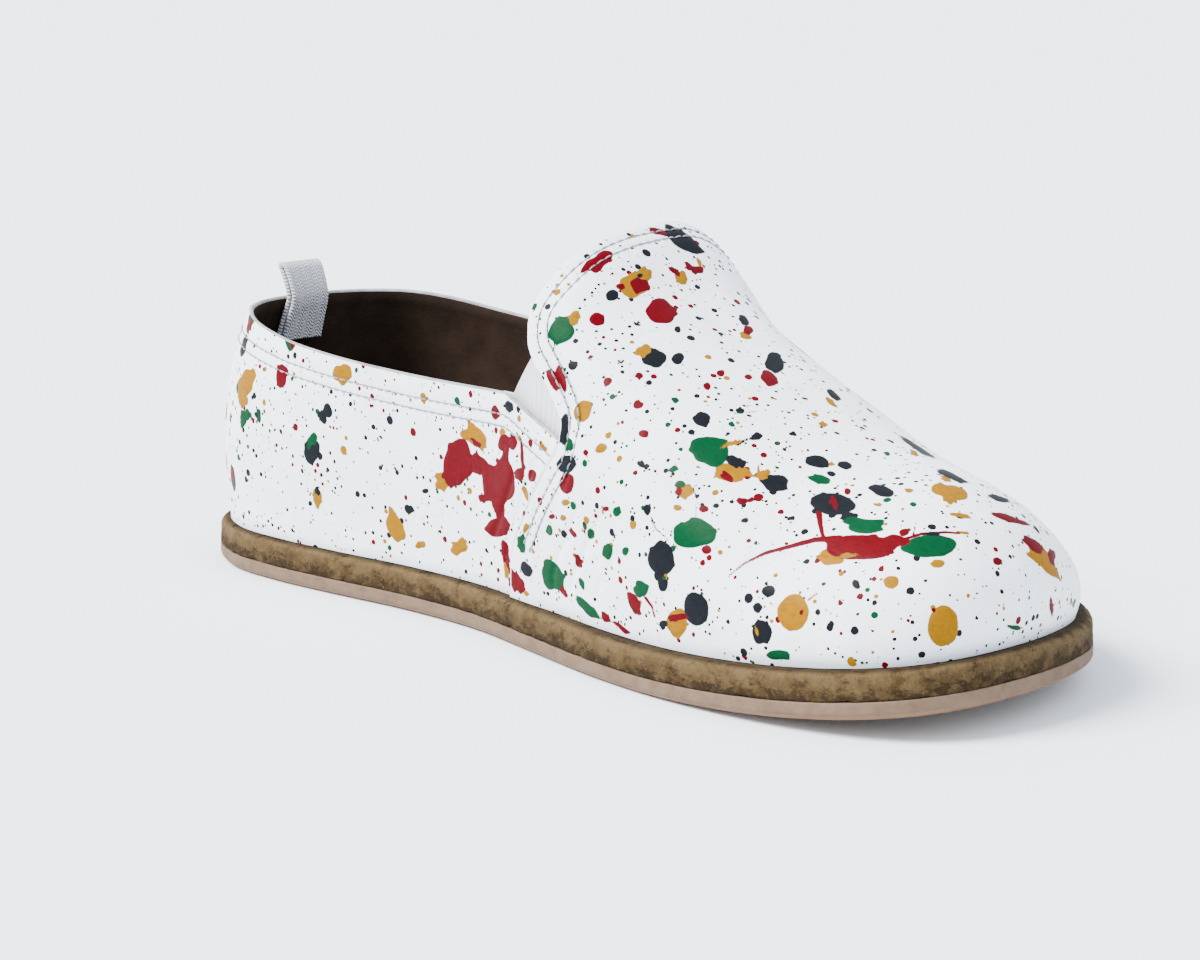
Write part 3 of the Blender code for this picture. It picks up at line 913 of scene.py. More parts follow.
# Splats seen from the photo's side. Columns: pigment, place across and down in its 1200 by 960
# frame, length, width, turn in degrees (falling to the right is positive), raggedness
UNDER_SPLATS = (
    ("r", 738, 528, 22, 12, -28, .22), ("k", 799, 513, 30, 12, 35, .12), ("r", 783, 507, 16, 5, 12, .2),
    ("y", 764, 544, 22, 18, 0, .25), ("r", 768, 545, 13, 11, 0, .15), ("k", 768, 538, 5, 3, 0, .1),
    ("r", 754, 546, 8, 4, 0, .2), ("k", 748, 552, 10, 8, -20, .06), ("r", 783, 564, 23, 17, 8, .10),
    ("r", 737, 569, 11, 10, 0, .06), ("g", 711, 577, 22, 16, -55, .15), ("y", 719, 569, 14, 9, -60, .2),
    ("y", 798, 540, 11, 8, 30, .2), ("r", 793, 535, 10, 4, 45, .2), ("r", 808, 534, 12, 6, 10, .25),
    ("y", 811, 529, 7, 3, 60, .1), ("k", 795, 577, 5, 5, 0, .1), ("k", 777, 597, 19, 14, 10, .10),
    ("k", 795, 598, 10, 8, -20, .06), ("k", 719, 602, 7, 7, 0, .06), ("r", 705, 612, 18, 7, 68, .10),
    ("r", 711, 611, 19, 6, 74, .12), ("r", 744, 614, 7, 6, -30, .1), ("k", 754, 600, 6, 2.5, -25, .1),
    ("r", 732, 596, 5, 3, -30, .1), ("r", 767, 610, 6, 5, 0, .1), ("k", 774, 615, 5, 4, 0, .1),
    ("k", 755, 607, 4, 3, 0, .1), ("r", 816, 618, 6, 5, 0, .1), ("r", 826, 609, 6, 5, 0, .1),
    ("y", 726, 635, 17, 12, -68, .05), ("g", 793, 628, 5, 5, 0, .2), ("k", 812, 642, 14, 10, 5, .12),
    ("r", 770, 652, 8, 6, -10, .1), ("k", 712, 648, 22, 8, 98, .15), ("g", 716, 659, 8, 8, 0, .3),
    ("y", 739, 662, 9, 7, -40, .1), ("r", 728, 665, 4, 5, 0, .1), ("k", 714, 673, 14, 13, 10, .06),
    ("r", 714, 687, 15, 11, 90, .06), ("g", 818, 665, 28, 22, 0, .12), ("y", 833, 681, 26, 13, 8, .12),
    ("k", 836, 673, 12, 9, 30, .25), ("r", 830, 684, 12, 5, 30, .25), ("g", 791, 678, 7, 5, -15, .2),
    ("k", 768, 674, 6, 5, 30, .3), ("k", 865, 689, 22, 12, 10, .12), ("g", 796, 689, 8, 6, 0, .1),
    ("y", 800, 694, 12, 10, 0, .1), ("r", 795, 694, 5, 7, 0, .2), ("y", 794, 706, 6, 5, 0, .1),
    ("r", 813, 707, 7, 6, 0, .1), ("k", 812, 704, 4, 3, 0, .1), ("k", 822, 705, 5, 4, 0, .1),
    ("k", 772, 707, 8, 6, 80, .1), ("g", 806, 725, 31, 22, 5, .10), ("r", 815, 737, 7, 7, 0, .1),
    ("y", 825, 739, 4, 4, 0, .1), ("k", 782, 743, 26, 19, 95, .06), ("k", 783, 760, 14, 8, 88, .06),
    ("g", 767, 765, 13, 10, 80, .12), ("r", 762, 775, 18, 8, 62, .12), ("k", 807, 780, 25, 18, 85, .04),
    ("y", 793, 790, 20, 16, 80, .12), ("k", 783, 791, 7, 6, 0, .2), ("g", 703, 754, 26, 14, 62, .15),
    ("r", 711, 766, 9, 4, 55, .2), ("k", 684, 749, 13, 7, 62, .08), ("r", 677, 758, 18, 9, 75, .25),
    ("r", 669, 736, 18, 6, 75, .25), ("y", 670, 748, 12, 5, 80, .2), ("y", 684, 767, 6, 4, 10, .2),
    ("g", 681, 730, 14, 6, 95, .2), ("y", 684, 719, 8, 4, 100, .2), ("g", 728, 778, 22, 7, 42, .15),
    ("r", 741, 785, 8, 6, 45, .2), ("r", 754, 794, 18, 4, 38, .25), ("g", 724, 760, 9, 4, 70, .1),
    ("r", 722, 744, 9, 6, 80, .25), ("g", 743, 737, 12, 8, 85, .1), ("y", 745, 733, 4, 5, 0, .1),
    ("g", 756, 737, 7, 5, 90, .1), ("g", 750, 708, 8, 6, 90, .1), ("g", 731, 724, 8, 6, 80, .1),
    ("g", 701, 721, 8, 5, 90, .1), ("y", 713, 701, 6, 5, 0, .1), ("y", 728, 714, 6, 4, 80, .1),
    ("r", 718, 723, 8, 4, 60, .2), ("r", 742, 706, 5, 4, 0, .1), ("y", 711, 712, 5, 4, 0, .1),
    ("r", 703, 711, 5, 4, 0, .1), ("r", 636, 671, 36, 20, 95, .12), ("r", 665, 686, 38, 22, 85, .18),
    ("r", 665, 704, 20, 8, 88, .15), ("r", 664, 718, 17, 15, 0, .1), ("r", 650, 672, 18, 11, 70, .2),
    ("r", 669, 657, 9, 12, 0, .12), ("r", 675, 657, 8, 10, 0, .12), ("r", 682, 667, 27, 2.6, 88, .1),
    ("r", 680, 680, 10, 7, 90, .08), ("r", 689, 681, 10, 6, 90, .08), ("y", 648, 652, 19, 14, 60, .25),
    ("y", 625, 684, 14, 11, 60, .2), ("y", 684, 693, 10, 4, 75, .2), ("y", 668, 650, 8, 4, 90, .1),
    ("r", 663, 635, 11, 6, 80, .1), ("k", 673, 631, 9, 6, 80, .1), ("y", 697, 661, 6, 5, 0, .3),
    ("y", 590, 717, 22, 12, 75, .15), ("y", 636, 732, 12, 11, 0, .25), ("y", 608, 730, 7, 6, 0, .2),
    ("k", 600, 704, 8, 6, 60, .15), ("k", 612, 691, 5, 4, 0, .1), ("r", 653, 697, 8, 5, 60, .2),
    ("k", 843, 571, 9, 6, 55, .1), ("r", 846, 578, 8, 6, 40, .1), ("y", 844, 582, 9, 5, 20, .1),
    ("k", 865, 602, 17, 12, 60, .12), ("r", 861, 613, 15, 9, 40, .08), ("k", 908, 626, 12, 5, 42, .1),
    ("y", 906, 631, 10, 4, 42, .2), ("y", 900, 647, 6, 4, 20, .2), ("k", 896, 674, 18, 9, 15, .08),
    ("k", 916, 677, 11, 6, 15, .06), ("y", 906, 676, 5, 3, 0, .2), ("k", 906, 683, 7, 4, 15, .06),
    ("g", 898, 687, 15, 7, 10, .12), ("k", 852, 655, 8, 6, 0, .15), ("k", 943, 696, 19, 8, 16, .06),
    ("r", 918, 696, 5, 5, 0, .06), ("k", 907, 705, 33, 16, 10, .06), ("k", 919, 715, 14, 7, 10, .2),
    ("r", 928, 737, 52, 19, -2, .08), ("r", 952, 733, 22, 9, 3, .12), ("y", 906, 744, 20, 11, 8, .12),
    ("g", 978, 737, 42, 16, -3, .05), ("k", 980, 728, 12, 3, 5, .1), ("y", 984, 750, 11, 6, 0, .06),
    ("y", 950, 763, 11, 10, -15, .05), ("y", 878, 784, 27, 23, 85, .04), ("k", 855, 798, 19, 14, 80, .08),
    ("k", 860, 768, 10, 9, 0, .05), ("k", 852, 780, 8, 6.5, 80, .1), ("k", 924, 764, 7, 6, 60, .1),
    ("r", 927, 773, 5, 5, 0, .1), ("k", 923, 798, 7, 6, 80, .05), ("k", 906, 793, 5, 4, 80, .05),
    ("k", 896, 784, 5, 4, 80, .1), ("y", 988, 796, 30, 23, 88, .03), ("g", 867, 815, 17, 8, 5, .1),
    ("g", 1041, 798, 9, 4, 0, .2), ("y", 1061, 747, 32, 12, 52, .15), ("r", 1037, 718, 29, 5, 17, .1),
    ("y", 993, 698, 24, 13, 14, .2), ("k", 994, 686, 26, 4.5, 25, .1), ("y", 990, 688, 10, 3, 25, .2),
    ("k", 969, 665, 32, 3.5, 33, .1), ("y", 967, 669, 8, 3, 33, .2), ("k", 1029, 703, 18, 4, 20, .1),
    ("y", 1001, 715, 15, 3.5, 10, .2), ("y", 963, 696, 7, 3, 10, .2), ("r", 1028, 749, 7, 6, 40, .1),
    ("k", 1028, 758, 5, 3.5, 80, .1), ("r", 1068, 783, 15, 3, 84, .1), ("r", 841, 702, 9, 5, -8, .15),
    ("y", 940, 706, 6, 3, 5, .2), ("r", 846, 612, 6, 4, 0, .1), ("r", 1075, 729, 9, 3.5, 45, .1),
    ("g", 947, 669, 5, 3, 30, .1), ("k", 841, 676, 5, 4, 0, .1), ("k", 843, 716, 6, 4, -5, .1),
)
OVER_SPLATS = (
    ("y", 770, 592, 11, 9, -20, .2), ("y", 785, 756, 4, 3, 80, .1), ("r", 793, 786, 12, 6, -15, .25),
    ("y", 856, 683, 10, 7, 10, .25), ("r", 908, 704, 8, 5, 60, .3), ("g", 930, 721, 34, 10, 10, .22),
    ("y", 851, 797, 9, 2, 75, .1), ("r", 1054, 737, 20, 7, 36, .15), ("r", 1068, 746, 13, 5, 78, .2),
    ("y", 833, 660, 12, 4, -20, .35), ("r", 981, 784, 4, 3, 0, .2), ("r", 884, 784, 4, 3, 80, .2),
    ("y", 918, 743, 16, 3, -8, .3), ("g", 784, 757, 3, 3, 0, .1), ("r", 649, 657, 8, 4, 40, .3),
)
# Drawn-out threads of paint. Columns: pigment, width at the start and at the end, places
UNDER_THREADS = (
    ("r", 5.0, 2.6, ((897, 712), (898, 720), (900, 729))),
    ("r", 4.5, 1.4, ((912, 730), (894, 731), (878, 735), (858, 740), (843, 747), (830, 757))),
    ("r", 2.6, 1.6, ((955, 733), (972, 728), (990, 727), (1000, 728))),
    ("y", 1.8, 2.4, ((998, 727), (1006, 728))),
    ("r", 1.8, 1.0, ((966, 729), (968, 720))),
    ("k", 1.4, 1.2, ((775, 713), (778, 721), (787, 729))),
    ("k", 1.2, 1.0, ((805, 690), (808, 700), (807, 714))),
    ("y", 2.0, 1.4, ((889, 775), (896, 770))),
    ("y", 2.6, 1.0, ((853, 682), (853, 675))),
    ("r", 2.4, 1.2, ((770, 771), (775, 778), (777, 786))),
    ("y", 2.4, 1.2, ((840, 682), (850, 684), (858, 683))),
    ("r", 2.4, 1.2, ((845, 702), (852, 701))),
    ("k", 3.0, 1.4, ((838, 660), (848, 656))),
    ("g", 1.4, 1.0, ((836, 638), (853, 637))),
    ("g", 2.2, 1.0, ((722, 576), (728, 578))),
)


@dataclass(frozen=True)
class PhotoView:
    """Point of view that the splats and the camera share."""

    eye: tuple[float, float, float] = (0.5078, -0.5064, 0.1762)
    azimuth: float = 49.53
    elevation: float = 6.104
    roll: float = 0.147
    focal: float = 2200.0
    middle: tuple[float, float] = (600.0, 480.0)

    def basis(self) -> np.ndarray:
        """Rows: direction right, up and back of the view.

        Returns:
            Three unit vectors.
        """
        a, e, r = (math.radians(value) for value in (self.azimuth, self.elevation, self.roll))
        back = np.array((math.sin(a) * math.cos(e), -math.cos(a) * math.cos(e), math.sin(e)))
        right = unit(np.cross((0.0, 0.0, 1.0), back))
        up = np.cross(back, right)
        cos, sin = math.cos(r), math.sin(r)
        return np.array((right * cos + up * sin, up * cos - right * sin, back))

    def project(self, points: np.ndarray) -> tuple[np.ndarray, np.ndarray]:
        """Places of points in the 1200 by 960 frame.

        Args:
            points: Points in space.

        Returns:
            Across and down for each point, and millimetres per frame unit there.
        """
        local = (points - np.array(self.eye)) @ self.basis().T
        depth = -local[..., 2]
        across = self.middle[0] + self.focal * local[..., 0] / depth
        down = self.middle[1] - self.focal * local[..., 1] / depth
        return np.stack((across, down), -1), depth / self.focal / MM

    def facing(self, points: np.ndarray, normals: np.ndarray) -> np.ndarray:
        """Cosine between the surface's normal and the way to the eye."""
        return (unit(np.array(self.eye) - points) * normals).sum(-1)


def splash(across: np.ndarray, up: np.ndarray, length: float, width: float, ragged: float,
           seed: int) -> np.ndarray:
    """Signed distance to the rim of one splat, in the units of its sizes.

    The rim is an ellipse whose radius swings with five cosines and a few narrow spikes.

    Args:
        across: Place along the splat's length.
        up: Place along its width.
        length: Full length.
        width: Full width.
        ragged: Depth of the swings.
        seed: Seed of their phases.

    Returns:
        Distance, negative inside.
    """
    rng = np.random.default_rng(seed)
    a, b = across / (length / 2.0), up / (width / 2.0)
    around = np.arctan2(b, a)
    rim = np.ones_like(around)
    for order in range(2, 7):
        rim += ragged * 1.3 / order * np.cos(order * around + rng.uniform(0.0, 2.0 * math.pi))
    for _ in range(int(rng.integers(2, 5))):
        turn = np.angle(np.exp(1j * (around - rng.uniform(0.0, 2.0 * math.pi))))
        rim += ragged * rng.uniform(0.6, 2.2) * np.exp(-(turn / rng.uniform(0.08, 0.2))**2)
    return (np.hypot(a, b) - rim) * min(length, width) / 2.0


def thread(places: np.ndarray, knots: np.ndarray, start: float, end: float) -> np.ndarray:
    """Signed distance to a tapering line through some knots.

    Args:
        places: Places in the photo's frame.
        knots: Rows of the line's points.
        start: Width at its first point.
        end: Width at its last point.

    Returns:
        One number for each place, below zero inside.
    """
    best = np.full(len(places), np.inf)
    for index, (a, b) in enumerate(zip(knots[:-1], knots[1:])):
        along = np.clip(((places - a) @ (b - a)) / ((b - a) @ (b - a)), 0.0, 1.0)
        near = np.linalg.norm(places - a - along[:, None] * (b - a), axis=1)
        share = (index + along) / (len(knots) - 1)
        best = np.minimum(best, near - (start + (end - start) * share) / 2.0)
    return best


def turned(across: np.ndarray, up: np.ndarray, turn: float) -> tuple[np.ndarray, np.ndarray]:
    """Plane coordinates in axes turned by an angle in radians."""
    cos, sin = math.cos(turn), math.sin(turn)
    return across * cos + up * sin, up * cos - across * sin


def lower(values: np.ndarray, at: np.ndarray, to: np.ndarray) -> None:
    """Lowers some of the values to new ones, where those are smaller."""
    values[at] = np.minimum(values[at], to)


@dataclass(frozen=True)
class Paint:
    """Splattered paint: distances to the splats' rims, stored on the leather's points."""

    view: PhotoView = PhotoView()
    splat_margin: float = 6.0
    thread_margin: float = 8.0
    hidden_splats: int = 230
    outer_share: float = 0.62
    inner_columns: float = 0.42
    pigment_shares: tuple[float, ...] = (0.25, 0.2, 0.25, 0.3)
    second_share: float = 0.3
    size: float = 3.4
    size_spread: float = 0.55
    size_limits: tuple[float, float] = (1.6, 11.0)
    seen_from: float = 575.0
    seed: int = 11

    def fields(self, points: np.ndarray, normals: np.ndarray) -> dict[str, np.ndarray]:
        """Distance in millimetres to the nearest splat of each pigment and layer.

        Args:
            points: Points of the leather.
            normals: Its unit normals.

        Returns:
            Values per point, by attribute name.
        """
        fields = {f"{layer}_{pigment.key}": np.full(len(points), FAR)
                  for layer in ("under", "over") for pigment in Pigment}
        self.seen_splats(fields, points, normals)
        self.unseen_splats(fields, points, normals)
        return fields

    def seen_splats(self, fields: dict[str, np.ndarray], points: np.ndarray, normals: np.ndarray) -> None:
        """Adds the splats and threads listed from the photo's side.

        Args:
            fields: Distances by layer and pigment, in millimetres, lowered in place.
            points: Points of the leather.
            normals: Its unit normals.
        """
        seen = np.flatnonzero(self.view.facing(points, normals) > 0.02)
        places, scale = (part[seen] for part in self.view.project(points))
        for layer, table in (("under", UNDER_SPLATS), ("over", OVER_SPLATS)):
            for number, (key, u, v, length, width, turn, ragged) in enumerate(table):
                offset = places - (u, v)
                near = (np.abs(offset) < length + self.splat_margin).all(axis=1)
                along, aside = turned(*offset[near].T, math.radians(turn))
                distance = splash(along, aside, length, width, ragged, number * 7 + 3)
                lower(fields[f"{layer}_{key}"], seen[near], distance * scale[near])
        for key, start, end, path in UNDER_THREADS:
            knots = np.array(path, float)
            near = ((places > knots.min(axis=0) - self.thread_margin)
                    & (places < knots.max(axis=0) + self.thread_margin)).all(axis=1)
            lower(fields[f"under_{key}"], seen[near], thread(places[near], knots, start, end) * scale[near])

    def unseen_splats(self, fields: dict[str, np.ndarray], points: np.ndarray, normals: np.ndarray) -> None:
        """Scatters like splats over the sides that the photo doesn't show.

        Args:
            fields: Distances by layer and pigment, in millimetres, lowered in place.
            points: Points of the leather.
            normals: Its unit normals.
        """
        rng = np.random.default_rng(self.seed)
        keys = [pigment.key for pigment in Pigment]
        for number in range(self.hidden_splats):
            side = Side.OUTER if rng.random() < self.outer_share else Side.INNER
            column = rng.uniform(0.0, 1.0 if side is Side.OUTER else self.inner_columns)
            level = rng.uniform(0.03, 0.98)
            drawn = np.exp(rng.normal(math.log(self.size), self.size_spread))
            size = float(np.clip(drawn, *self.size_limits)) * MM
            stretch = rng.uniform(1.0, 1.5)
            turn = rng.uniform(0.0, math.pi)
            key = rng.choice(keys, p=self.pigment_shares)
            second = rng.choice(keys) if rng.random() < self.second_share else ""
            shift = rng.uniform(-0.6, 0.6, 2) * size
            ragged = rng.uniform(0.04, 0.2)
            centres, directions = LAST.place(side, np.array([column]), np.array([level]))
            across = self.view.project(centres)[0][0, 0]
            if self.view.facing(centres, directions)[0] > -0.05 and across > self.seen_from:
                continue
            normal = directions[0]
            first = unit(np.cross(normal, (0.0, 0.0, 1.0)))
            offset = points - centres[0]
            near = np.flatnonzero((np.abs(offset) < size * 1.6).all(axis=1) & (normals @ normal > 0.3))
            along, aside = turned(offset[near] @ first, offset[near] @ np.cross(normal, first), turn)
            distance = splash(along, aside, size * stretch, size, ragged, number * 5 + 1)
            lower(fields[f"under_{key}"], near, distance / MM)
            if second:
                distance = splash(along - shift[0], aside - shift[1], size * 0.8, size * 0.5, 0.25,
                                  number * 5 + 2)
                lower(fields[f"over_{second}"], near, distance / MM)


@dataclass(frozen=True)
class WhiteLeather:
    """White smooth leather with fine grain, splats, a mist of small drops and painted shade low along the
    sole and beside the vamp's lapped edge.
    """

    white: Colour = (0.83, 0.855, 0.90)
    shade: Colour = (0.76, 0.79, 0.85)
    grime: Colour = (0.36, 0.42, 0.48)
    roughness: float = 0.46
    paint_roughness: float = 0.42
    # Drops: cells per millimetre, greatest radius in cell widths, share of the cells
    mist: tuple[tuple[float, float, float], ...] = (
        (0.80, 0.44, 0.36), (0.42, 0.38, 0.50), (0.24, 0.30, 0.62))
    # Painted shade beside a line, low along the sole and beside the vamp's lapped edge: attribute, reach and
    # softness in millimetres, strength
    shades: tuple[tuple[str, float, float, float], ...] = (
        ("foot", 2.6, 3.0, 0.55), ("seam", 1.9, 0.8, 0.6))
    # Pigments in the order that each layer of splats is laid
    layers: tuple[tuple[str, str], ...] = (("under", "ygrk"), ("over", "kryg"))

    def drops(self, shader: Shader, where: Signal, scale: float, size: float,
              share: float) -> tuple[Signal, Signal]:
        """Round drops in random cells.

        Args:
            shader: Material to add to.
            where: Place in millimetres.
            scale: Cells per millimetre.
            size: Radius of the greatest drop, in cell widths.
            share: Share of the cells that hold a drop.

        Returns:
            Mask of the drops and their colour.
        """
        distance, random = shader.cells(where, scale)
        red, green, blue = shader.parts(random)
        holds = green.above(1.0 - share, 0.001)
        radius = (red * red) * (size * 0.75) + size * 0.25
        mask = (radius - distance).above(0.0, 0.008) * holds
        colour = shader.steps(blue, ((0.0, Pigment.CHARCOAL.colour), (0.48, Pigment.CRIMSON.colour),
                                     (0.73, Pigment.YELLOW.colour), (0.86, Pigment.GREEN.colour)))
        return mask, colour

    def material(self) -> bpy.types.Material:
        """Builds the leather's material.

        Returns:
            The material.
        """
        shader = Shader("white_leather_splattered", self.white, self.roughness, Specular_IOR_Level=0.035)
        where = shader.position()
        drifted = shader.shifted(where, shader.noise(where, 0.9, 1.0, output="Color"), 0.35)
        cloud = shader.noise(where, 0.06, 3.0)
        colour = shader.mix(cloud.above(0.42, 0.3), self.white, self.shade)
        # Painted shade: blue-grey mixed in near the feather line and beside the vamp's lapped edge
        for line, reach, soft, share in self.shades:
            near = (reach - shader.attribute(line)).above(0.0, soft)
            colour = shader.mix(near * share, colour, self.grime)
        pores, _ = shader.cells(where, 1.9)
        wrinkle = shader.noise(where, 0.7, 4.0, 0.6)
        fine = shader.noise(where, 3.5)
        painted = None
        for drop in self.mist:
            mask, tint = self.drops(shader, drifted, *drop)
            colour = shader.mix(mask, colour, tint)
            painted = mask if painted is None else painted.most(mask)
        streak = shader.noise(shader.position((1.0, 2.2, 2.2), (0.3, 0.5, 0.2)), 0.55, 3.0, 0.6)
        film = None
        for layer, order in self.layers:
            for key in order:
                distance = shader.attribute(f"{layer}_{key}") + (streak - 0.5) * 0.25
                mask = (0.0 - distance).above(-0.06, 0.12)
                tint = PIGMENTS[key].colour
                deep = tuple(value * 0.72 for value in tint)
                colour = shader.mix(mask, colour, shader.mix(streak.above(0.42, 0.35), tint, deep))
                painted = painted.most(mask)
                swell = (0.0 - distance).above(-0.1, 0.9)
                film = swell if film is None else film.most(swell)
        grain = pores * 0.05 + wrinkle * 0.10 + fine * 0.02
        height = grain * (1.0 - painted * 0.6) + film * 0.16 + painted * 0.04
        gloss = painted * (self.roughness - self.paint_roughness)
        return shader.finish(colour, self.roughness + (wrinkle - 0.5) * 0.12 - gloss, height, 0.55)


@dataclass(frozen=True)
class Matt:
    """Mottled matt finish: two tones by noise, at features per millimetre, with a relief in millimetres."""

    name: str
    light: Colour
    dark: Colour
    roughness: float
    scale: float
    relief: float
    specular: float = 0.5

    def material(self) -> bpy.types.Material:
        """Builds the material.

        Returns:
            The material.
        """
        shader = Shader(self.name, self.light, self.roughness, Specular_IOR_Level=self.specular)
        where = shader.position()
        mottle = shader.noise(where, self.scale * 0.12, 4.0, 0.6)
        fine = shader.noise(where, self.scale, 5.0, 0.65)
        colour = shader.mix(mottle.above(0.35, 0.35), self.light, self.dark)
        colour = shader.mix((fine - 0.5).above(0.02, 0.3) * 0.45, colour, self.dark)
        return shader.finish(colour, fine * 0.2 + (self.roughness - 0.1),
                             fine * self.relief + mottle * self.relief)


THREAD = Matt("grey_thread", (0.26, 0.27, 0.30), (0.13, 0.135, 0.16), 0.75, 2.0, 0.03)
LINING = Matt("brown_lining", (0.024, 0.014, 0.0090), (0.014, 0.008, 0.005), 0.8, 1.2, 0.10, 0.1)
CUT_EDGE = Matt("cut_leather_edge", (0.36, 0.36, 0.38), (0.17, 0.165, 0.17), 0.85, 1.8, 0.08)
# Dark finish of the discs that paint the shadow in the needle holes
NEEDLE_HOLE_SHADE = Matt("hole_shadow", (0.020, 0.020, 0.024), (0.010, 0.010, 0.012), 0.9, 2.0, 0.0)
SOLE_SIDE = Matt("outsole_side", (0.150, 0.099, 0.066), (0.105, 0.066, 0.042), 0.8, 2.2, 0.10, 0.15)
TREAD = Matt("tan_rubber_tread", (0.17, 0.083, 0.036), (0.13, 0.062, 0.026), 0.7, 1.6, 0.06)
STUDS = Matt("tan_rubber_studs", (0.30, 0.165, 0.080), (0.23, 0.12, 0.055), 0.6, 1.6, 0.03)
INSOLE = Matt("brown_insole", (0.032, 0.019, 0.012), (0.020, 0.012, 0.0075), 0.75, 1.4, 0.08, 0.1)


@dataclass(frozen=True)
class RawLeather:
    """Ground raw edge of stacked leather: fibrous, mottled, with painted light towards its top and a painted
    shade line along its upper edge.
    """

    light: Colour = (0.105, 0.068, 0.029)
    warm: Colour = (0.046, 0.026, 0.009)
    dark: Colour = (0.010, 0.0055, 0.0025)
    fleck: Colour = (0.19, 0.135, 0.062)

    def material(self) -> bpy.types.Material:
        """Builds the material; the attribute band is 0 at the bottom of the edge and 1 at the top.

        Returns:
            The material.
        """
        shader = Shader("raw_leather_edge", self.warm, 0.9, Specular_IOR_Level=0.1)
        where = shader.position()
        band = shader.attribute("band")
        fibre = shader.noise(shader.position((1.0, 1.0, 3.0)), 2.6, 5.0, 0.75)
        mottle = shader.noise(where, 0.16, 5.0, 0.65)
        burn = shader.noise(shader.position((0.6, 0.6, 1.0)), 0.42, 5.0, 0.75)
        # Painted light: the tone gets lighter towards the top of the edge
        painted_light = (band - 0.45) * 0.30
        tone = mottle - 0.5 + (fibre - 0.5) * 0.9 + painted_light
        colour = shader.mix(tone.above(-0.12, 0.3), self.warm, self.light)
        low = (0.62 - band).above(0.0, 0.5)
        spots = (burn + low * 0.13).above(0.53, 0.12) * (0.5 + fibre * 0.7)
        colour = shader.mix(spots * 0.85, colour, self.dark)
        nap = shader.noise(shader.position((1.0, 1.0, 1.6)), 1.5, 3.0, 0.8)
        colour = shader.mix(nap.above(0.60, 0.10) * 0.55, colour, self.fleck)
        # Painted shade: a dark line along the top of the edge, where it meets the upper
        seam = band.above(0.90, 0.10)
        colour = shader.mix(seam * 0.75, colour, self.dark)
        height = fibre * 0.30 + mottle * 0.2
        return shader.finish(colour, fibre * 0.1 + 0.84, height)


@dataclass(frozen=True)
class RibbedElastic:
    """Elastic web: close ribs across its stretch, woven over with fine threads."""

    light: Colour = (0.74, 0.735, 0.80)
    dark: Colour = (0.50, 0.495, 0.56)
    pitch: float = RIB_PITCH
    thread: float = 0.45

    def material(self) -> bpy.types.Material:
        """Builds the material; attributes hold millimetres along and across.

        Returns:
            The material.
        """
        shader = Shader("grey_elastic_web", self.light, 0.88, Sheen_Weight=0.3, Sheen_Roughness=0.5,
                        Specular_IOR_Level=0.25)
        along, across = shader.attribute("along"), shader.attribute("across")
        ribs = (along * (2.0 * math.pi / self.pitch)).sine() * 0.5 + 0.5
        threads = (across * (2.0 * math.pi / self.thread) + ribs * 2.0).sine() * 0.5 + 0.5
        fuzz = shader.noise(shader.position(), 3.0, 4.0, 0.7)
        tone = ribs * 0.45 + threads * 0.25 + fuzz * 0.4
        colour = shader.mix(tone.above(0.2, 0.7), self.dark, self.light)
        return shader.finish(colour, fuzz * 0.1 + 0.84, ribs * 0.14 + threads * 0.06 + fuzz * 0.06)


@dataclass(frozen=True)
class Webbing:
    """Woven tape: a herringbone of fine threads."""

    light: Colour = (0.62, 0.62, 0.64)
    dark: Colour = (0.25, 0.25, 0.28)
    zigzag: float = 4.0
    warp: float = 0.9
    weft: float = 0.7

    def material(self) -> bpy.types.Material:
        """Builds the material; attributes hold millimetres along and across.

        Returns:
            The material.
        """
        shader = Shader("grey_woven_tape", self.light, 0.9, Sheen_Weight=0.3, Specular_IOR_Level=0.2)
        along, across = shader.attribute("along"), shader.attribute("across")
        zig = (across * (2.0 * math.pi / self.zigzag)).sine() * 0.7
        warp = ((along + zig) * (2.0 * math.pi / self.warp)).sine() * 0.5 + 0.5
        weft = (across * (2.0 * math.pi / self.weft)).sine() * 0.5 + 0.5
        fuzz = shader.noise(shader.position(), 2.5, 4.0, 0.7)
        tone = warp * 0.5 + weft * 0.2 + fuzz * 0.3
        colour = shader.mix(tone.above(0.2, 0.7), self.dark, self.light)
        return shader.finish(colour, fuzz * 0.1 + 0.85, warp * 0.22 + weft * 0.08 + fuzz * 0.06)


def round_edge(thickness: float, steps: int) -> np.ndarray:
    """Rounded edge of a sheet: reach and depth below the outer face along a half circle.

    Args:
        thickness: Thickness of the sheet.
        steps: Count of steps round the half circle.

    Returns:
        Rows of reach and depth.
    """
    turn = np.linspace(0.0, math.pi, steps + 1)
    radius = thickness / 2.0
    return np.stack((radius * np.sin(turn) * 0.8, radius - radius * np.cos(turn)), -1)


@dataclass
class Seam:
    """Line on the form, by its coordinates."""

    side: Side
    column: np.ndarray
    level: np.ndarray

    def beside(self, distance: float) -> "Seam":
        """Line at a distance from this one, square to it on the form; a negative one moves rearwards.

        Args:
            distance: Distance in metres.

        Returns:
            The new line.
        """
        steps = 4
        column, level = self.column, self.level
        for _ in range(steps):
            points, normal = LAST.place(self.side, column, level)
            aside = np.cross(normal, unit(np.gradient(points, axis=0))) * self.side.value
            column, level = LAST.walk(self.side, column, level, aside * distance / steps)
            level = np.clip(level, 0.0, 1.0)
        return Seam(self.side, column, level)

    def points(self, depth: float = 0.0) -> tuple[np.ndarray, np.ndarray]:
        """Points of the line at a depth, and normals."""
        return LAST.place(self.side, self.column, self.level, depth)


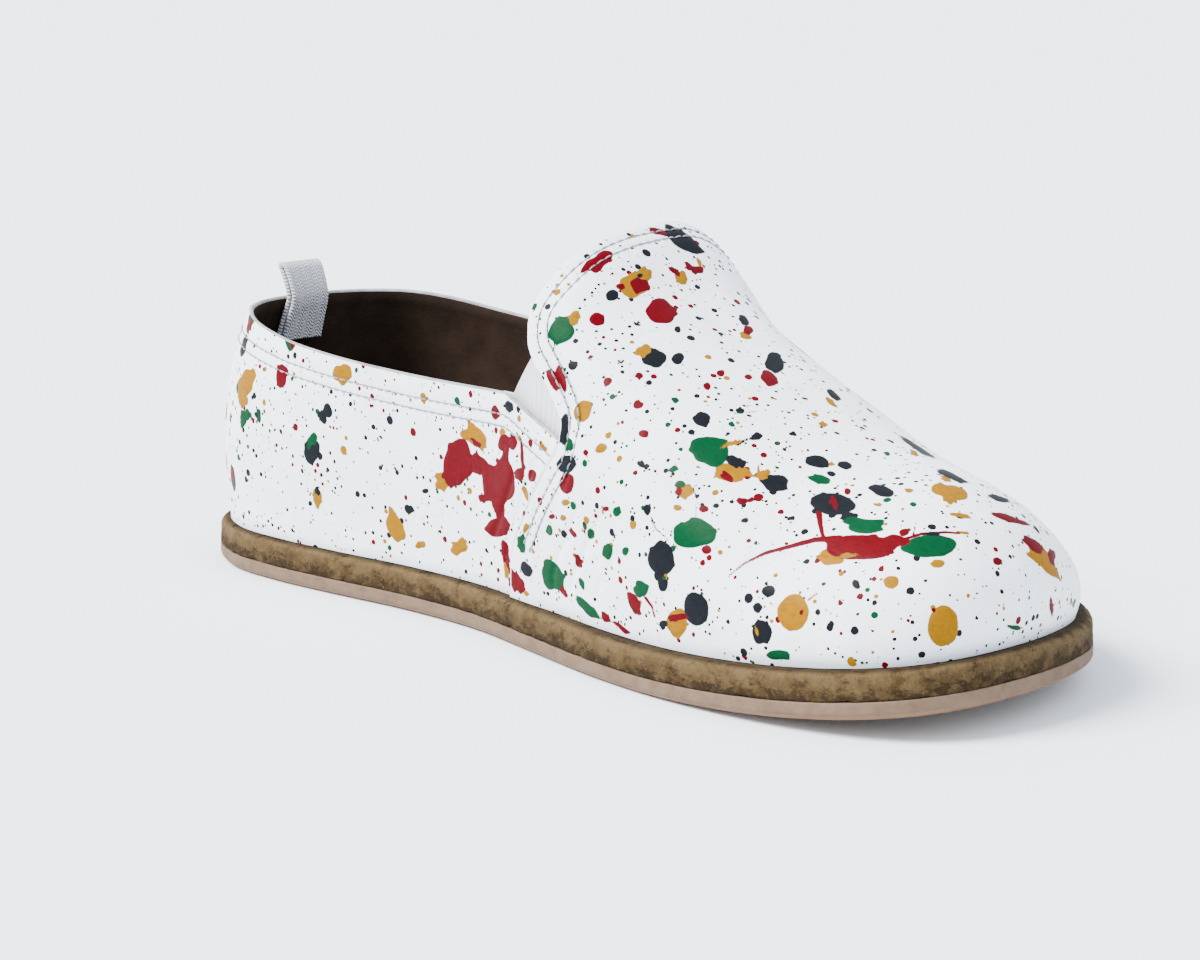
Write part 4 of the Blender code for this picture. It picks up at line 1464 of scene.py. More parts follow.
# Creases at the foot of the side seams. Columns: start behind or before the seam, its level, end,
# its level, depth and half-width in millimetres
CREASES = {
    Side.INNER: (
        (0.010, 0.02, 0.001, 0.20, 0.544, 0.850), (0.030, 0.01, 0.018, 0.17, 0.714, 0.935),
        (0.052, 0.01, 0.044, 0.12, 0.510, 1.020), (0.075, 0.01, 0.064, 0.14, 0.612, 1.020),
        (0.104, 0.01, 0.099, 0.09, 0.408, 1.020), (-0.014, 0.01, -0.018, 0.13, 0.442, 0.935),
        (-0.036, 0.01, -0.036, 0.10, 0.340, 1.020), (0.012, 0.30, 0.034, 0.44, 0.340, 1.190),
    ),
    Side.OUTER: (
        (0.012, 0.02, 0.004, 0.19, 0.544, 0.850), (0.034, 0.01, 0.024, 0.15, 0.646, 0.935),
        (0.060, 0.01, 0.054, 0.12, 0.476, 1.020), (0.088, 0.01, 0.080, 0.11, 0.510, 1.020),
        (-0.018, 0.01, -0.022, 0.12, 0.408, 0.935), (-0.040, 0.01, -0.038, 0.09, 0.340, 1.020),
    ),
}


def lap_of(column: np.ndarray) -> np.ndarray:
    """Height that the vamp stands proud by, fading from its rear edge."""
    return LAP_STEP * np.exp(-((column - LAST.seam) * LAST.side_length / LAP_FADE)**2)


@dataclass
class Relief:
    """Relief of the leather: dips along stitch rows and listed creases, over soft waves."""

    dips: list[tuple[np.ndarray, float, float]]
    wave: float = 0.16 * MM
    wave_reach: float = 9.0 * MM
    ripple: float = 0.22
    ripple_reach: float = 3.2 * MM
    seed: int = 3

    @staticmethod
    def nearest(points: np.ndarray, line: np.ndarray, reach: float = 4 * MM, batch: int = 4000) -> np.ndarray:
        """Distance from each point to the nearest point of a dense line; 1 m where none is in reach.

        Args:
            points: Rows of points.
            line: Rows of the line's points.
            reach: Greatest distance that matters.
            batch: Count of points at a time.

        Returns:
            Distances in metres.
        """
        near = np.flatnonzero(((points > line.min(axis=0) - reach)
                               & (points < line.max(axis=0) + reach)).all(axis=1))
        distance = np.full(len(points), 1.0)
        for start in range(0, len(near), batch):
            part = near[start:start + batch]
            gap = points[part][:, None, :] - line[None, :, :]
            distance[part] = np.sqrt((gap * gap).sum(-1).min(axis=1))
        return distance

    def height(self, points: np.ndarray) -> np.ndarray:
        """Relief along the normal at points of the leather.

        The sum of two soft undulations and a dip of bell shape along each line.

        Args:
            points: Points of the form.

        Returns:
            Heights in metres.
        """
        total = undulation(points, self.wave_reach, self.seed) * self.wave
        total += undulation(points, self.ripple_reach, self.seed + 1) * self.wave * self.ripple
        for line, depth, reach in self.dips:
            total -= depth * np.exp(-(self.nearest(points, line) / reach)**2)
        return total


Row = tuple[np.ndarray, np.ndarray]


@dataclass
class Leather:
    """The two leather panels and their stitch rows."""

    vamp_columns: int = 240
    vamp_rows: tuple[int, int] = (196, 112)
    vamp_crowding: float = 1.06
    lining_columns: int = 34
    lining_start: float = 1.2 * MM
    vamp_sheet: float = 1.3 * MM
    quarter_columns: int = 250
    quarter_rows: int = 84
    quarter_crowding: float = 1.12
    quarter_lap: float = 0.010
    quarter_sheet: float = 1.2 * MM
    slack: float = 0.1 * MM
    sink: float = 0.3 * MM
    vamp_seams: tuple[float, float] = (2.6 * MM, 5.2 * MM)
    quarter_seams: tuple[float, float] = (4.8 * MM, 7.6 * MM)
    groove: tuple[float, float] = (0.22 * MM, 0.9 * MM)
    stitch: float = 2.6 * MM
    thread: float = 0.42 * MM
    hole: float = 0.30 * MM
    hole_sides: int = 8

    def __post_init__(self) -> None:
        """Lays out the stitch rows before the panels, which dip along them."""
        self.vamp_lines = [self.vamp_row(distance) for distance in self.vamp_seams]
        self.quarter_lines = [self.quarter_row(distance) for distance in self.quarter_seams]
        dips = [(points, *self.groove) for points, _ in self.vamp_lines + self.quarter_lines]
        self.relief = Relief(dips + [self.crease(side, *row) for side in Side for row in CREASES[side]])
        self.paint = Paint()

    def crease(self, side: Side, start: float, low: float, end: float, high: float, depth: float,
               reach: float) -> tuple[np.ndarray, float, float]:
        """Line of one crease on the form, with its depth and half-width in metres.

        Args:
            side: Side of the foot.
            start: Offset of its first column from the seam.
            low: Level where it starts.
            end: Offset of its last column from the seam.
            high: Level where it ends.
            depth: Depth in millimetres.
            reach: Half-width in millimetres.

        Returns:
            Points of the line, depth and half-width.
        """
        share = np.linspace(0.0, 1.0, 60)
        column = LAST.seam + start + (end - start) * share
        level = low + (high - low) * share**0.8
        return LAST.place(side, LAST.bent(side, column, level), level)[0], depth * MM, reach * MM

    def edge(self, side: Side, count: int = 260, low: float = 0.0) -> Seam:
        """Rear edge of the vamp on one side, from the foot to the crest."""
        levels = even_levels(side, np.array([LAST.seam]), np.array([low]), np.ones(1), count)[0]
        return Seam(side, LAST.bent(side, LAST.seam, levels), levels)

    def vamp_row(self, distance: float) -> Row:
        """Stitch row along the whole rear edge of the vamp, from side to side.

        Args:
            distance: Distance from the edge, in metres.

        Returns:
            Dense points and normals.
        """
        halves = []
        for side in Side:
            line = self.edge(side, low=0.03).beside(distance)
            below_crest = line.level < 0.999
            lap = LAP_STEP * math.exp(-(distance / LAP_FADE)**2)
            halves.append([part[below_crest] for part in line.points(-lap)])
        return tuple(np.concatenate((inner, outer[::-1])) for inner, outer in zip(*halves))

    def quarter_row(self, distance: float) -> Row:
        """Stitch row below the top edge of the quarter, round the heel.

        Args:
            distance: Distance below the edge, in metres.

        Returns:
            Dense points and normals.
        """
        columns = np.linspace(0.0, LAST.seam - 0.006, 300)
        halves = []
        for side in Side:
            top = LAST.level_where(side, LAST.family(side, columns),
                                   lambda x: LAST.collar_height(x) - distance)
            halves.append(LAST.place(side, LAST.bent(side, columns, top), top))
        return tuple(meeting(inner[::-1], outer[::-1]) for inner, outer in zip(*halves))

    def raised(self, points: np.ndarray, normal: np.ndarray) -> np.ndarray:
        """Points moved along their normals by the relief.

        Args:
            points: Points of the form.
            normal: Their unit normals.

        Returns:
            Moved points.
        """
        height = self.relief.height(points.reshape(-1, 3)).reshape(points.shape[:-1])
        fade = smoothstep((points[..., 2] - LAST.feather - LAST.spring(points[..., 0])) / (3.0 * MM))
        return points + normal * (height * fade)[..., None]

    def seated(self, side: Side, points: np.ndarray, feet: np.ndarray, depth: np.ndarray | float) -> None:
        """Sets the lowest points flat on the midsole, a hair into it."""
        base = LAST.outline(side, feet, LAST.ledge(feet) + depth)
        points[:, 0] = np.column_stack((base, LAST.feather + LAST.spring(base[:, 0]) - self.sink))

    def coated(self, points: np.ndarray, normal: np.ndarray, overlap: np.ndarray | None = None) -> Patch:
        """Grid of the leather's face.

        Args:
            points: Points of the leather.
            normal: Directions that they face.
            overlap: Line where another panel ends on this one, or None.

        Returns:
            Patch with paint distances, height above the foot and distance from the overlap, in
            millimetres; the last two place the leather's painted shade.
        """
        flat = points.reshape(-1, 3)
        values = self.paint.fields(flat, normal.reshape(-1, 3))
        values["foot"] = (flat[:, 2] - LAST.feather - LAST.spring(flat[:, 0])) / MM
        values["seam"] = np.full(len(flat), FAR)
        if overlap is not None:
            values["seam"] = np.minimum(self.relief.nearest(flat, overlap) / MM, FAR)
        shape = points.shape[:2]
        return Patch(points, normal, 0, {key: value.reshape(shape) for key, value in values.items()})

    @staticmethod
    def border(edges: list[Seam], profile: np.ndarray, depth: float,
               leaving: Sequence[float]) -> tuple[np.ndarray, np.ndarray]:
        """Sheet edge: a profile carried along the edge line of both sides.

        Args:
            edges: Inner and outer half of the line, each ending where the halves meet.
            profile: Rows of reach away from the panel and depth below its outer face.
            depth: Depth of that face below the form.
            leaving: Rough direction that leaves the panel half way along.

        Returns:
            Points, one line per profile row, and outward directions.
        """
        points, normal = (meeting(first, second)
                          for first, second in zip(edges[0].points(), edges[1].points()))
        outward = unit(np.cross(normal, unit(np.gradient(points, axis=0))))
        if outward[len(outward) // 2] @ np.array(leaving) < 0.0:
            outward = -outward
        rows = [points + outward * reach - normal * (depth + below) for reach, below in profile]
        return np.array(rows), outward

    def vamp(self, materials: Sequence[bpy.types.Material]) -> bpy.types.Object:
        """Vamp with its lining and rounded rear edge, in leather, lining and cut edge.

        Args:
            materials: Finishes of leather, lining and cut edge.

        Returns:
            The piece.
        """
        patches, edges = [], []
        few = np.linspace(0.0, 1.0, self.lining_columns)[:, None]**self.vamp_crowding
        many = np.linspace(0.0, 1.0, self.vamp_columns)**self.vamp_crowding
        columns = LAST.seam + (1.0 - LAST.seam) * many
        lap = lap_of(columns)
        for side, rows in zip(Side, self.vamp_rows):
            levels = even_levels(side, columns, np.zeros_like(columns), np.ones_like(columns), rows)
            bent = LAST.bent(side, columns[:, None], levels)
            points, normal = LAST.place(side, bent, levels, -lap[:, None])
            points = self.raised(points, normal)
            self.seated(side, points, bent[:, 0], -lap)
            patches.append(self.coated(points, normal))
            edges.append(Seam(side, bent[0], levels[0]))
            back = edges[-1].beside(self.lining_start)
            toe = LAST.bent(side, np.ones(1), levels[-1:])[0][0]
            inside_columns = back.column + few * (toe - back.column)
            inside_levels = back.level + smoothstep(few * 3.0) * (levels[0] - back.level)
            inside_levels[:, -1] = 1.0
            inner, inner_normal = LAST.place(side, inside_columns, inside_levels, WALL)
            self.seated(side, inner, inside_columns[:, 0], WALL)
            patches.append(Patch(inner, -inner_normal, 1))
        rim, outward = self.border(edges, round_edge(self.vamp_sheet, 8), -LAP_STEP, (-1.0, 0.0, 0.0))
        rim[0] = meeting(patches[0].points[0], patches[2].points[0])
        coat = self.coated(rim, np.broadcast_to(outward, rim.shape))
        for rows, slot in ((np.s_[:5], 0), (np.s_[4:], 2)):
            patches.append(strip(rim[rows], outward, slot,
                                 {key: value[rows] for key, value in coat.values.items()}))
        last = meeting(patches[1].points[0], patches[3].points[0])
        fold = np.stack((rim[-1], rim[-1] * 0.5 + last * 0.5 + outward * 0.2 * MM, last))
        patches.append(strip(fold, outward, 1))
        return welded("vamp_leather", "upper", patches, materials)

    def quarter(self, materials: Sequence[bpy.types.Material]) -> bpy.types.Object:
        """Quarter round the heel with its lining and top edge, in leather, lining and cut edge.

        Args:
            materials: Finishes of leather, lining and cut edge.

        Returns:
            The piece.
        """
        patches, edges = [], []
        shares = 1.0 - (1.0 - np.linspace(0.0, 1.0, self.quarter_columns))**self.quarter_crowding
        columns = (LAST.seam + self.quarter_lap) * shares
        wall = WALL - self.slack
        for side in Side:
            tops = LAST.level_where(side, LAST.family(side, columns), LAST.collar_height)
            levels = even_levels(side, columns, np.zeros_like(columns), tops, self.quarter_rows)
            bent = LAST.bent(side, columns[:, None], levels)
            points, normal = LAST.place(side, bent, levels)
            points = self.raised(points, normal)
            self.seated(side, points, bent[:, 0], 0.0)
            # Line just behind the vamp's edge, beside which the quarter gets a painted shadow
            over = self.edge(side, 500).beside(-0.5 * MM).points()[0]
            patches.append(self.coated(points, normal, over))
            inner, inner_normal = LAST.place(side, bent[:, ::3], levels[:, ::3], wall)
            inner[:, -1, 2] -= 0.5 * MM
            self.seated(side, inner, bent[:, 0], wall)
            patches.append(Patch(inner, -inner_normal, 1))
            edges.append(Seam(side, bent[::-1, -1], levels[::-1, -1]))
        rim, outward = self.border(edges, round_edge(self.quarter_sheet, 6), 0.0, (0.0, 0.0, 1.0))
        rim[0] = meeting(patches[0].points[::-1, -1], patches[2].points[::-1, -1])
        coat = self.coated(rim, np.broadcast_to(outward, rim.shape))
        coat.slot = 2
        patches.append(coat)
        last = meeting(patches[1].points[::-1, -1], patches[3].points[::-1, -1])
        patches.append(strip(np.stack((rim[-1], last)), outward, 1))
        return welded("quarter_leather", "upper", patches, materials)

    def spaced(self, points: np.ndarray, normal: np.ndarray) -> tuple[np.ndarray, np.ndarray, np.ndarray]:
        """Places of the stitch ends along a row, its running length and its points on the relief.

        Args:
            points: Dense points of a row.
            normal: Their unit normals.

        Returns:
            Those places, the length at each point and the raised points.
        """
        length = lengths(points)
        ends = np.linspace(0.0, length[-1], int(length[-1] / self.stitch) + 1)
        return ends, length, points + normal * self.relief.height(points)[:, None]

    def stitches(self, name: str, lines: Sequence[Row], material: bpy.types.Material) -> bpy.types.Object:
        """Lockstitches: short curved threads end to end along each row.

        A stitch's middle line rises as a half sine between its ends, and its round section
        shrinks towards them.

        Args:
            name: Object's name.
            lines: Rows as dense points and normals.
            material: Thread's finish.

        Returns:
            The object.
        """
        along = np.linspace(0.0, 1.0, 7)
        around = np.linspace(0.0, 2.0 * math.pi, 6, endpoint=False)[:, None, None, None]
        bow = np.sin(along * math.pi)
        rise = bow * 0.30 * MM - 0.06 * MM
        radius = self.thread / 2.0 * (0.55 + 0.45 * bow)
        clouds = []
        for points, normal in lines:
            ends, length, lifted = self.spaced(points, normal)
            spot = read(ends, length, lifted)
            up = unit(read(ends, length, normal))
            start, stop = spot[:-1], spot[1:]
            lift = unit(up[:-1] + up[1:])
            aside = np.cross(unit(stop - start), lift)
            start, stop = start + (stop - start) * 0.07, stop - (stop - start) * 0.07
            middle = start[:, None] + (stop - start)[:, None] * along[None, :, None]
            middle = middle + lift[:, None] * rise[None, :, None]
            ring = np.cos(around) * aside[None, :, None] + np.sin(around) * lift[None, :, None]
            tube = middle[None] + ring * radius[None, None, :, None]
            clouds.append(tube.transpose(1, 2, 0, 3))
        tubes = np.concatenate(clouds)
        count, rows, turns = tubes.shape[:3]
        index = np.arange(rows * turns).reshape(rows, turns)
        after = np.roll(index, -1, axis=1)
        quads = np.stack((index[:-1], after[:-1], after[1:], index[1:]), -1).reshape(-1, 4)
        caps = np.array([[0, 5, 4, 3], [0, 3, 2, 1]])
        quads = np.concatenate((quads, caps, (caps + (rows - 1) * turns)[:, ::-1]))
        faces = copies(quads, count, rows * turns)
        return mesh_object(name, "upper", tubes.reshape(-1, 3), faces, (material,))

    def pinholes(self, lines: Sequence[Row], material: bpy.types.Material) -> bpy.types.Object:
        """Painted shadow of the needle holes between the stitches: dark flat closed discs sunk in the
        leather.

        Args:
            lines: Rows as dense points and normals.
            material: Finish.

        Returns:
            The object.
        """
        turns = self.hole_sides
        frames = []
        for points, normal in lines:
            ends, length, lifted = self.spaced(points, normal)
            slope = unit(np.gradient(points, axis=0))
            frames.append([read(ends[1:-1], length, vectors) for vectors in (lifted, normal, slope)])
        spot, up, run = (np.concatenate(part) for part in zip(*frames))
        aside = unit(np.cross(up, run))
        angle = np.linspace(0.0, 2.0 * math.pi, turns, endpoint=False)[None, :, None]
        ring = (np.cos(angle) * run[:, None] * 1.25 + np.sin(angle) * aside[:, None]) * self.hole
        cloud = np.concatenate((spot[:, None] + ring, (spot + up * 0.07 * MM)[:, None],
                                (spot - up * 0.12 * MM)[:, None]), 1)
        first = np.arange(turns)
        after = np.roll(first, -1)
        top = np.stack((np.full_like(first, turns), first, after), -1)
        low = np.stack((np.full_like(first, turns + 1), after, first), -1)
        faces = copies(np.concatenate((top, low)), len(spot), turns + 2)
        return mesh_object("stitch_hole_shadows", "upper", cloud.reshape(-1, 3), faces, (material,))


@dataclass(frozen=True)
class SoleLayer:
    """Sole layer: an edge profile carried round the outline, closed over the crest line."""

    name: str
    node: str
    bottom: float
    profile: tuple[tuple[float, float], ...]
    columns: int = 330
    rough: float = 0.0
    inside: bool = False

    def build(self, materials: Sequence[bpy.types.Material], slots: Sequence[int]) -> bpy.types.Object:
        """Builds the layer.

        Args:
            materials: Finishes.
            slots: Material number of each profile row.

        Returns:
            The object.
        """
        columns = np.linspace(0.0, 1.0, self.columns)
        inset = LAST.ledge(columns) + WALL + 2.0 * GAP if self.inside else np.zeros_like(columns)
        top = LAST.crest(columns)
        rings = (0.0, 0.5, 0.85)
        rows = np.array(self.profile)
        steps = [(rows[0], ring) for ring in rings] + [(row, 1.0) for row in rows]
        steps += [(rows[-1], ring) for ring in reversed(rings)]
        kinds = [slots[0]] * len(rings) + list(slots) + [slots[-1]] * len(rings)
        at_edge = np.array([ring == 1.0 for _, ring in steps])[:, None]
        tallest = max(rows[:, 1].max(), 1e-6)
        bands = np.array([np.full(self.columns, height / tallest) for (_, height), _ in steps])
        patches = []
        for side in Side:
            layers = []
            for (reach, height), ring in steps:
                plan = top + (LAST.outline(side, columns, inset + reach) - top) * ring
                layers.append(np.column_stack((plan, self.bottom + height + LAST.spring(plan[:, 0]))))
            layers = np.array(layers)
            run = unit(np.gradient(layers, axis=0))
            outward = unit(np.cross(unit(np.gradient(layers, axis=1)), run)) * side.value
            centre = np.array((0.0, 0.0, layers[..., 2].mean()))
            outward *= np.where(((layers - centre) * outward).sum(-1, keepdims=True) < 0.0, -1.0, 1.0)
            if self.rough:
                lift = undulation(layers.reshape(-1, 3), 1.6 * MM, 21).reshape(layers.shape[:-1])
                layers = layers + outward * (np.minimum(lift, 0.0) * self.rough * at_edge)[..., None]
            patches += [Patch(layers[low:low + 2], outward[low:low + 2], kinds[low],
                              {"band": bands[low:low + 2]}) for low in range(len(steps) - 1)]
        return welded(self.name, self.node, patches, materials)


@dataclass(frozen=True)
class Gore:
    """Elastic web between the quarter and the vamp, ribbed square to its stretch."""

    side: Side
    node: str
    lap: float = 0.0040
    depth: float = WALL + 2.0 * GAP
    thickness: float = 0.0010
    count: int = 150
    rows: int = 90
    rib: float = 0.06 * MM
    pitch: float = RIB_PITCH * MM
    rounding: float = 0.35

    def grid(self) -> tuple[np.ndarray, np.ndarray]:
        """Columns and levels of the web, one line per column.

        Returns:
            Two arrays, one row for each line of the web.
        """
        lap = self.lap / LAST.side_length
        start = LAST.column_at(LAST.corner_station) - lap
        reach = np.linspace(0.0, 1.0, self.count)[:, None]

        def path(at: np.ndarray) -> np.ndarray:
            """Columns of the web, from its rear edge to the vamp."""
            return start + reach * (LAST.bent(self.side, LAST.seam, at) + lap - start)

        def top(x: np.ndarray) -> np.ndarray:
            """Height of the web's top edge, nowhere far below the quarter's."""
            return np.maximum(LAST.gore_height(x), LAST.collar_height(x) - GAP)

        low = LAST.level_where(self.side, path, lambda x: LAST.collar_height(x) - self.lap)
        high = LAST.level_where(self.side, path, top)
        levels = low[:, None] + (high - low)[:, None] * np.linspace(0.0, 1.0, self.rows)
        return path(levels), levels

    def build(self, web: bpy.types.Material) -> bpy.types.Object:
        """Builds the web with its rounded edges.

        Args:
            web: Finish of the elastic.

        Returns:
            The piece.
        """
        columns, levels = self.grid()
        front, normal = LAST.place(self.side, columns, levels, self.depth)
        back = front - normal * self.thickness
        across = lengths(front, 1)
        along = np.broadcast_to(lengths(front)[:, -1:], across.shape)
        ribs = self.rib * np.cos(along * 2.0 * math.pi / self.pitch)
        fade = smoothstep((levels[:, -1:] - levels) / 0.01)
        front = front - normal * (self.rib - ribs * fade)[..., None]
        values = {"along": along / MM, "across": across / MM}
        patches = [Patch(front, normal, 0, values), Patch(back, -normal, 0, values)]
        up = unit(front[:, -1] - front[:, -2])
        turn = np.linspace(0.0, math.pi, 6)[:, None, None]
        for pick, outward in ((np.s_[:, -1], up), (np.s_[:, 0], -up), (np.s_[0], unit(front[0] - front[1])),
                              (np.s_[-1], unit(front[-1] - front[-2]))):
            middle, half = (front[pick] + back[pick]) / 2.0, (front[pick] - back[pick]) / 2.0
            bulge = outward[None] * np.sin(turn) * self.thickness * self.rounding
            patches.append(strip(middle + half * np.cos(turn) + bulge, outward, 0,
                                 {key: value[pick] for key, value in values.items()}))
        return welded(self.node + "_web", self.node, patches, (web,))


@dataclass(frozen=True)
class PullTab:
    """Loop of tape folded over and sewn inside the heel's top edge."""

    width: float = 0.0140
    height: float = 0.0090
    thickness: float = 0.0032
    seat: float = 0.0100
    lean: float = 0.0036
    tape: float = 0.0013
    columns: int = 46
    depths: int = 120
    straight_steps: int = 40
    turn_steps: int = 24

    def wall(self, share: float) -> tuple[np.ndarray, ...]:
        """Heel's wall at one column of the tab.

        Args:
            share: Place across the tab, from -1 to 1.

        Returns:
            Point of the collar's edge, level direction outwards, then points below the edge with
            their height above it as a fourth number, and the normals there.
        """
        side = Side.INNER if share < 0.0 else Side.OUTER
        column = abs(share) * (LAST.column_at(0.0) + self.width / 2.0 / LAST.side_length)
        collar = LAST.level_where(side, lambda at: np.full((1, len(at)), column), LAST.collar_height)[0]
        top, facing = LAST.place(side, column, collar)
        levels = np.linspace(0.0, 1.0, 500)
        below = levels[levels <= collar]
        line, normal = LAST.place(side, np.full_like(levels, column), levels)
        pick = np.linspace(0, len(below) - 1, self.depths).astype(int)
        drop = np.column_stack((line[pick], line[pick, 2] - top[2]))
        return top, unit(facing * (1.0, 1.0, 0.0)), drop, normal[pick]

    def carried(self, rise: np.ndarray, depth: np.ndarray, base: Sequence[np.ndarray]) -> np.ndarray:
        """Points at heights above the collar's edge and depths from the wall.

        Args:
            rise: Heights above the collar's edge, negative along the wall below it.
            depth: Depths from the wall's outer face.
            base: What wall gives, for each column.

        Returns:
            Points, one line per column.
        """
        top, facing, drop, inward = base

        def below(vectors: np.ndarray) -> np.ndarray:
            """Vectors of the wall read at the heights below the edge."""
            at = np.minimum(rise, 0.0)
            return np.array([read(at, heights, lines) for heights, lines in zip(drop[..., 3], vectors)])

        sunk = below(drop) - unit(below(inward)) * depth[None, :, None]
        high = np.maximum(rise, 0.0)
        lean = self.lean * (high / self.height)**1.5
        above = (top[:, None] + np.array((0.0, 0.0, 1.0)) * high[None, :, None]
                 - facing[:, None] * (depth - lean)[None, :, None])
        return np.where((rise < 0.0)[None, :, None], sunk, above)

    def loop(self, slim: float) -> tuple[np.ndarray, np.ndarray]:
        """Section of one face of the folded tape: heights and depths, up, round and down again.

        Args:
            slim: Radius of that face's fold.

        Returns:
            Heights above the collar's edge and depths from the wall's outer face.
        """
        radius = self.thickness / 2.0
        middle = WALL + 2.0 * GAP + radius
        straight = self.height - radius
        rises = np.linspace(-self.seat, straight, self.straight_steps)
        turn = np.linspace(0.0, math.pi, self.turn_steps)[1:-1]
        rise = np.concatenate((rises, straight + slim * np.sin(turn), rises[::-1]))
        depth = np.concatenate((np.full_like(rises, middle - slim), middle - slim * np.cos(turn),
                                np.full_like(rises, middle + slim)))
        return rise, depth

    def build(self, tape: bpy.types.Material) -> bpy.types.Object:
        """Builds the folded tape: an outer loop round an inner gap, closed at both ends.

        Args:
            tape: Finish of the tape.

        Returns:
            The piece.
        """
        shares = np.linspace(-1.0, 1.0, self.columns)
        base = [np.array(part) for part in zip(*(self.wall(share) for share in shares))]
        radius = self.thickness / 2.0
        outer = self.carried(*self.loop(radius), base)
        inner = self.carried(*self.loop((radius - self.tape) * 0.9), base)
        middle = (outer + inner) / 2.0
        along = lengths(outer, 1) / MM
        across = np.broadcast_to(shares[:, None] * self.width / 2.0 / MM, along.shape)
        values = {"along": along, "across": across}
        patches = [Patch(face, unit(face - middle), 0, values) for face in (outer, inner)]
        sidewise = unit(outer[-1, :1] - outer[0, :1])
        for index, aside in ((0, -sidewise), (-1, sidewise)):
            band = np.stack((outer[index], middle[index] + aside * 0.25 * MM, inner[index]))
            patches.append(strip(band, aside, 0, {key: value[index] for key, value in values.items()}))
        for index in (0, -1):
            band = np.stack((outer[:, index], inner[:, index]))
            patches.append(strip(band, (0.0, 0.0, -1.0), 0,
                                 {key: value[:, index] for key, value in values.items()}))
        return welded("pull_tab_tape", "pull_tab", patches, (tape,))


@dataclass(frozen=True)
class Tread:
    """Small round studs in slanting rows over the sunk field of the outsole."""

    pitch: float = 2.27 * MM
    turn: float = math.radians(40.0)
    foot: float = 0.80 * MM
    head: float = 0.52 * MM
    crown: float = 0.04 * MM
    sunk: float = 0.32 * MM
    rooted: float = 0.10 * MM
    margin: float = 0.0078
    sides: int = 6

    def spots(self) -> np.ndarray:
        """Centres of the studs: a hexagonal grid cut by the outline moved inwards.

        Returns:
            Rows of X and Y.
        """
        reach = np.arange(-90, 91)
        first, second = np.meshgrid(reach, reach, indexing="ij")
        across = (first + 0.5 * (second % 2)) * self.pitch
        up = second * self.pitch * math.sqrt(0.75)
        spots = np.stack(turned(across, up, -self.turn), -1).reshape(-1, 2)
        columns = np.linspace(0.0, 1.0, 500)
        edges = [LAST.outline(side, columns, np.full_like(columns, self.margin)) for side in Side]
        loop = np.concatenate((edges[0], edges[1][::-1]))
        after = np.roll(loop, -1, axis=0)
        x, y = spots[:, :1], spots[:, 1:]
        spans = (loop[:, 1] > y) != (after[:, 1] > y)
        rise = after[:, 1] - loop[:, 1]
        rise = np.where(np.abs(rise) < 1e-12, 1e-12, rise)
        cross = loop[:, 0] + (y - loop[:, 1]) * (after[:, 0] - loop[:, 0]) / rise
        inside = (spans & (x < cross)).sum(axis=1) % 2 == 1
        return spots[inside]

    def build(self, rubber: bpy.types.Material) -> bpy.types.Object:
        """Builds the studs as closed hexagonal frusta.

        Args:
            rubber: Finish of the rubber.

        Returns:
            The piece.
        """
        spots = self.spots()
        angle = np.linspace(0.0, 2.0 * math.pi, self.sides, endpoint=False)
        ring = np.stack((np.cos(angle), np.sin(angle)), -1)
        base = LAST.spring(spots[:, 0])[:, None, None]
        layers = []
        for radius, height in ((self.foot, self.sunk + self.rooted), (self.head, self.crown),
                               (self.head * 0.5, 0.0)):
            plan = spots[:, None] + ring * radius
            layers.append(np.concatenate((plan, np.broadcast_to(base + height, (*plan.shape[:2], 1))), -1))
        cloud = np.stack(layers, 1)
        index = np.arange(3 * self.sides).reshape(3, self.sides)
        after = np.roll(index, -1, axis=1)
        quads = np.stack((index[:-1], index[1:], after[1:], after[:-1]), -1).reshape(-1, 4)
        caps = np.concatenate((index[0][np.array([[0, 1, 2, 3], [0, 3, 4, 5]])],
                               index[2][np.array([[3, 2, 1, 0], [5, 4, 3, 0]])]))
        faces = copies(np.concatenate((quads, caps)), len(spots), index.size)
        return mesh_object("outsole_studs", "outsole", cloud.reshape(-1, 3), faces, (rubber,))


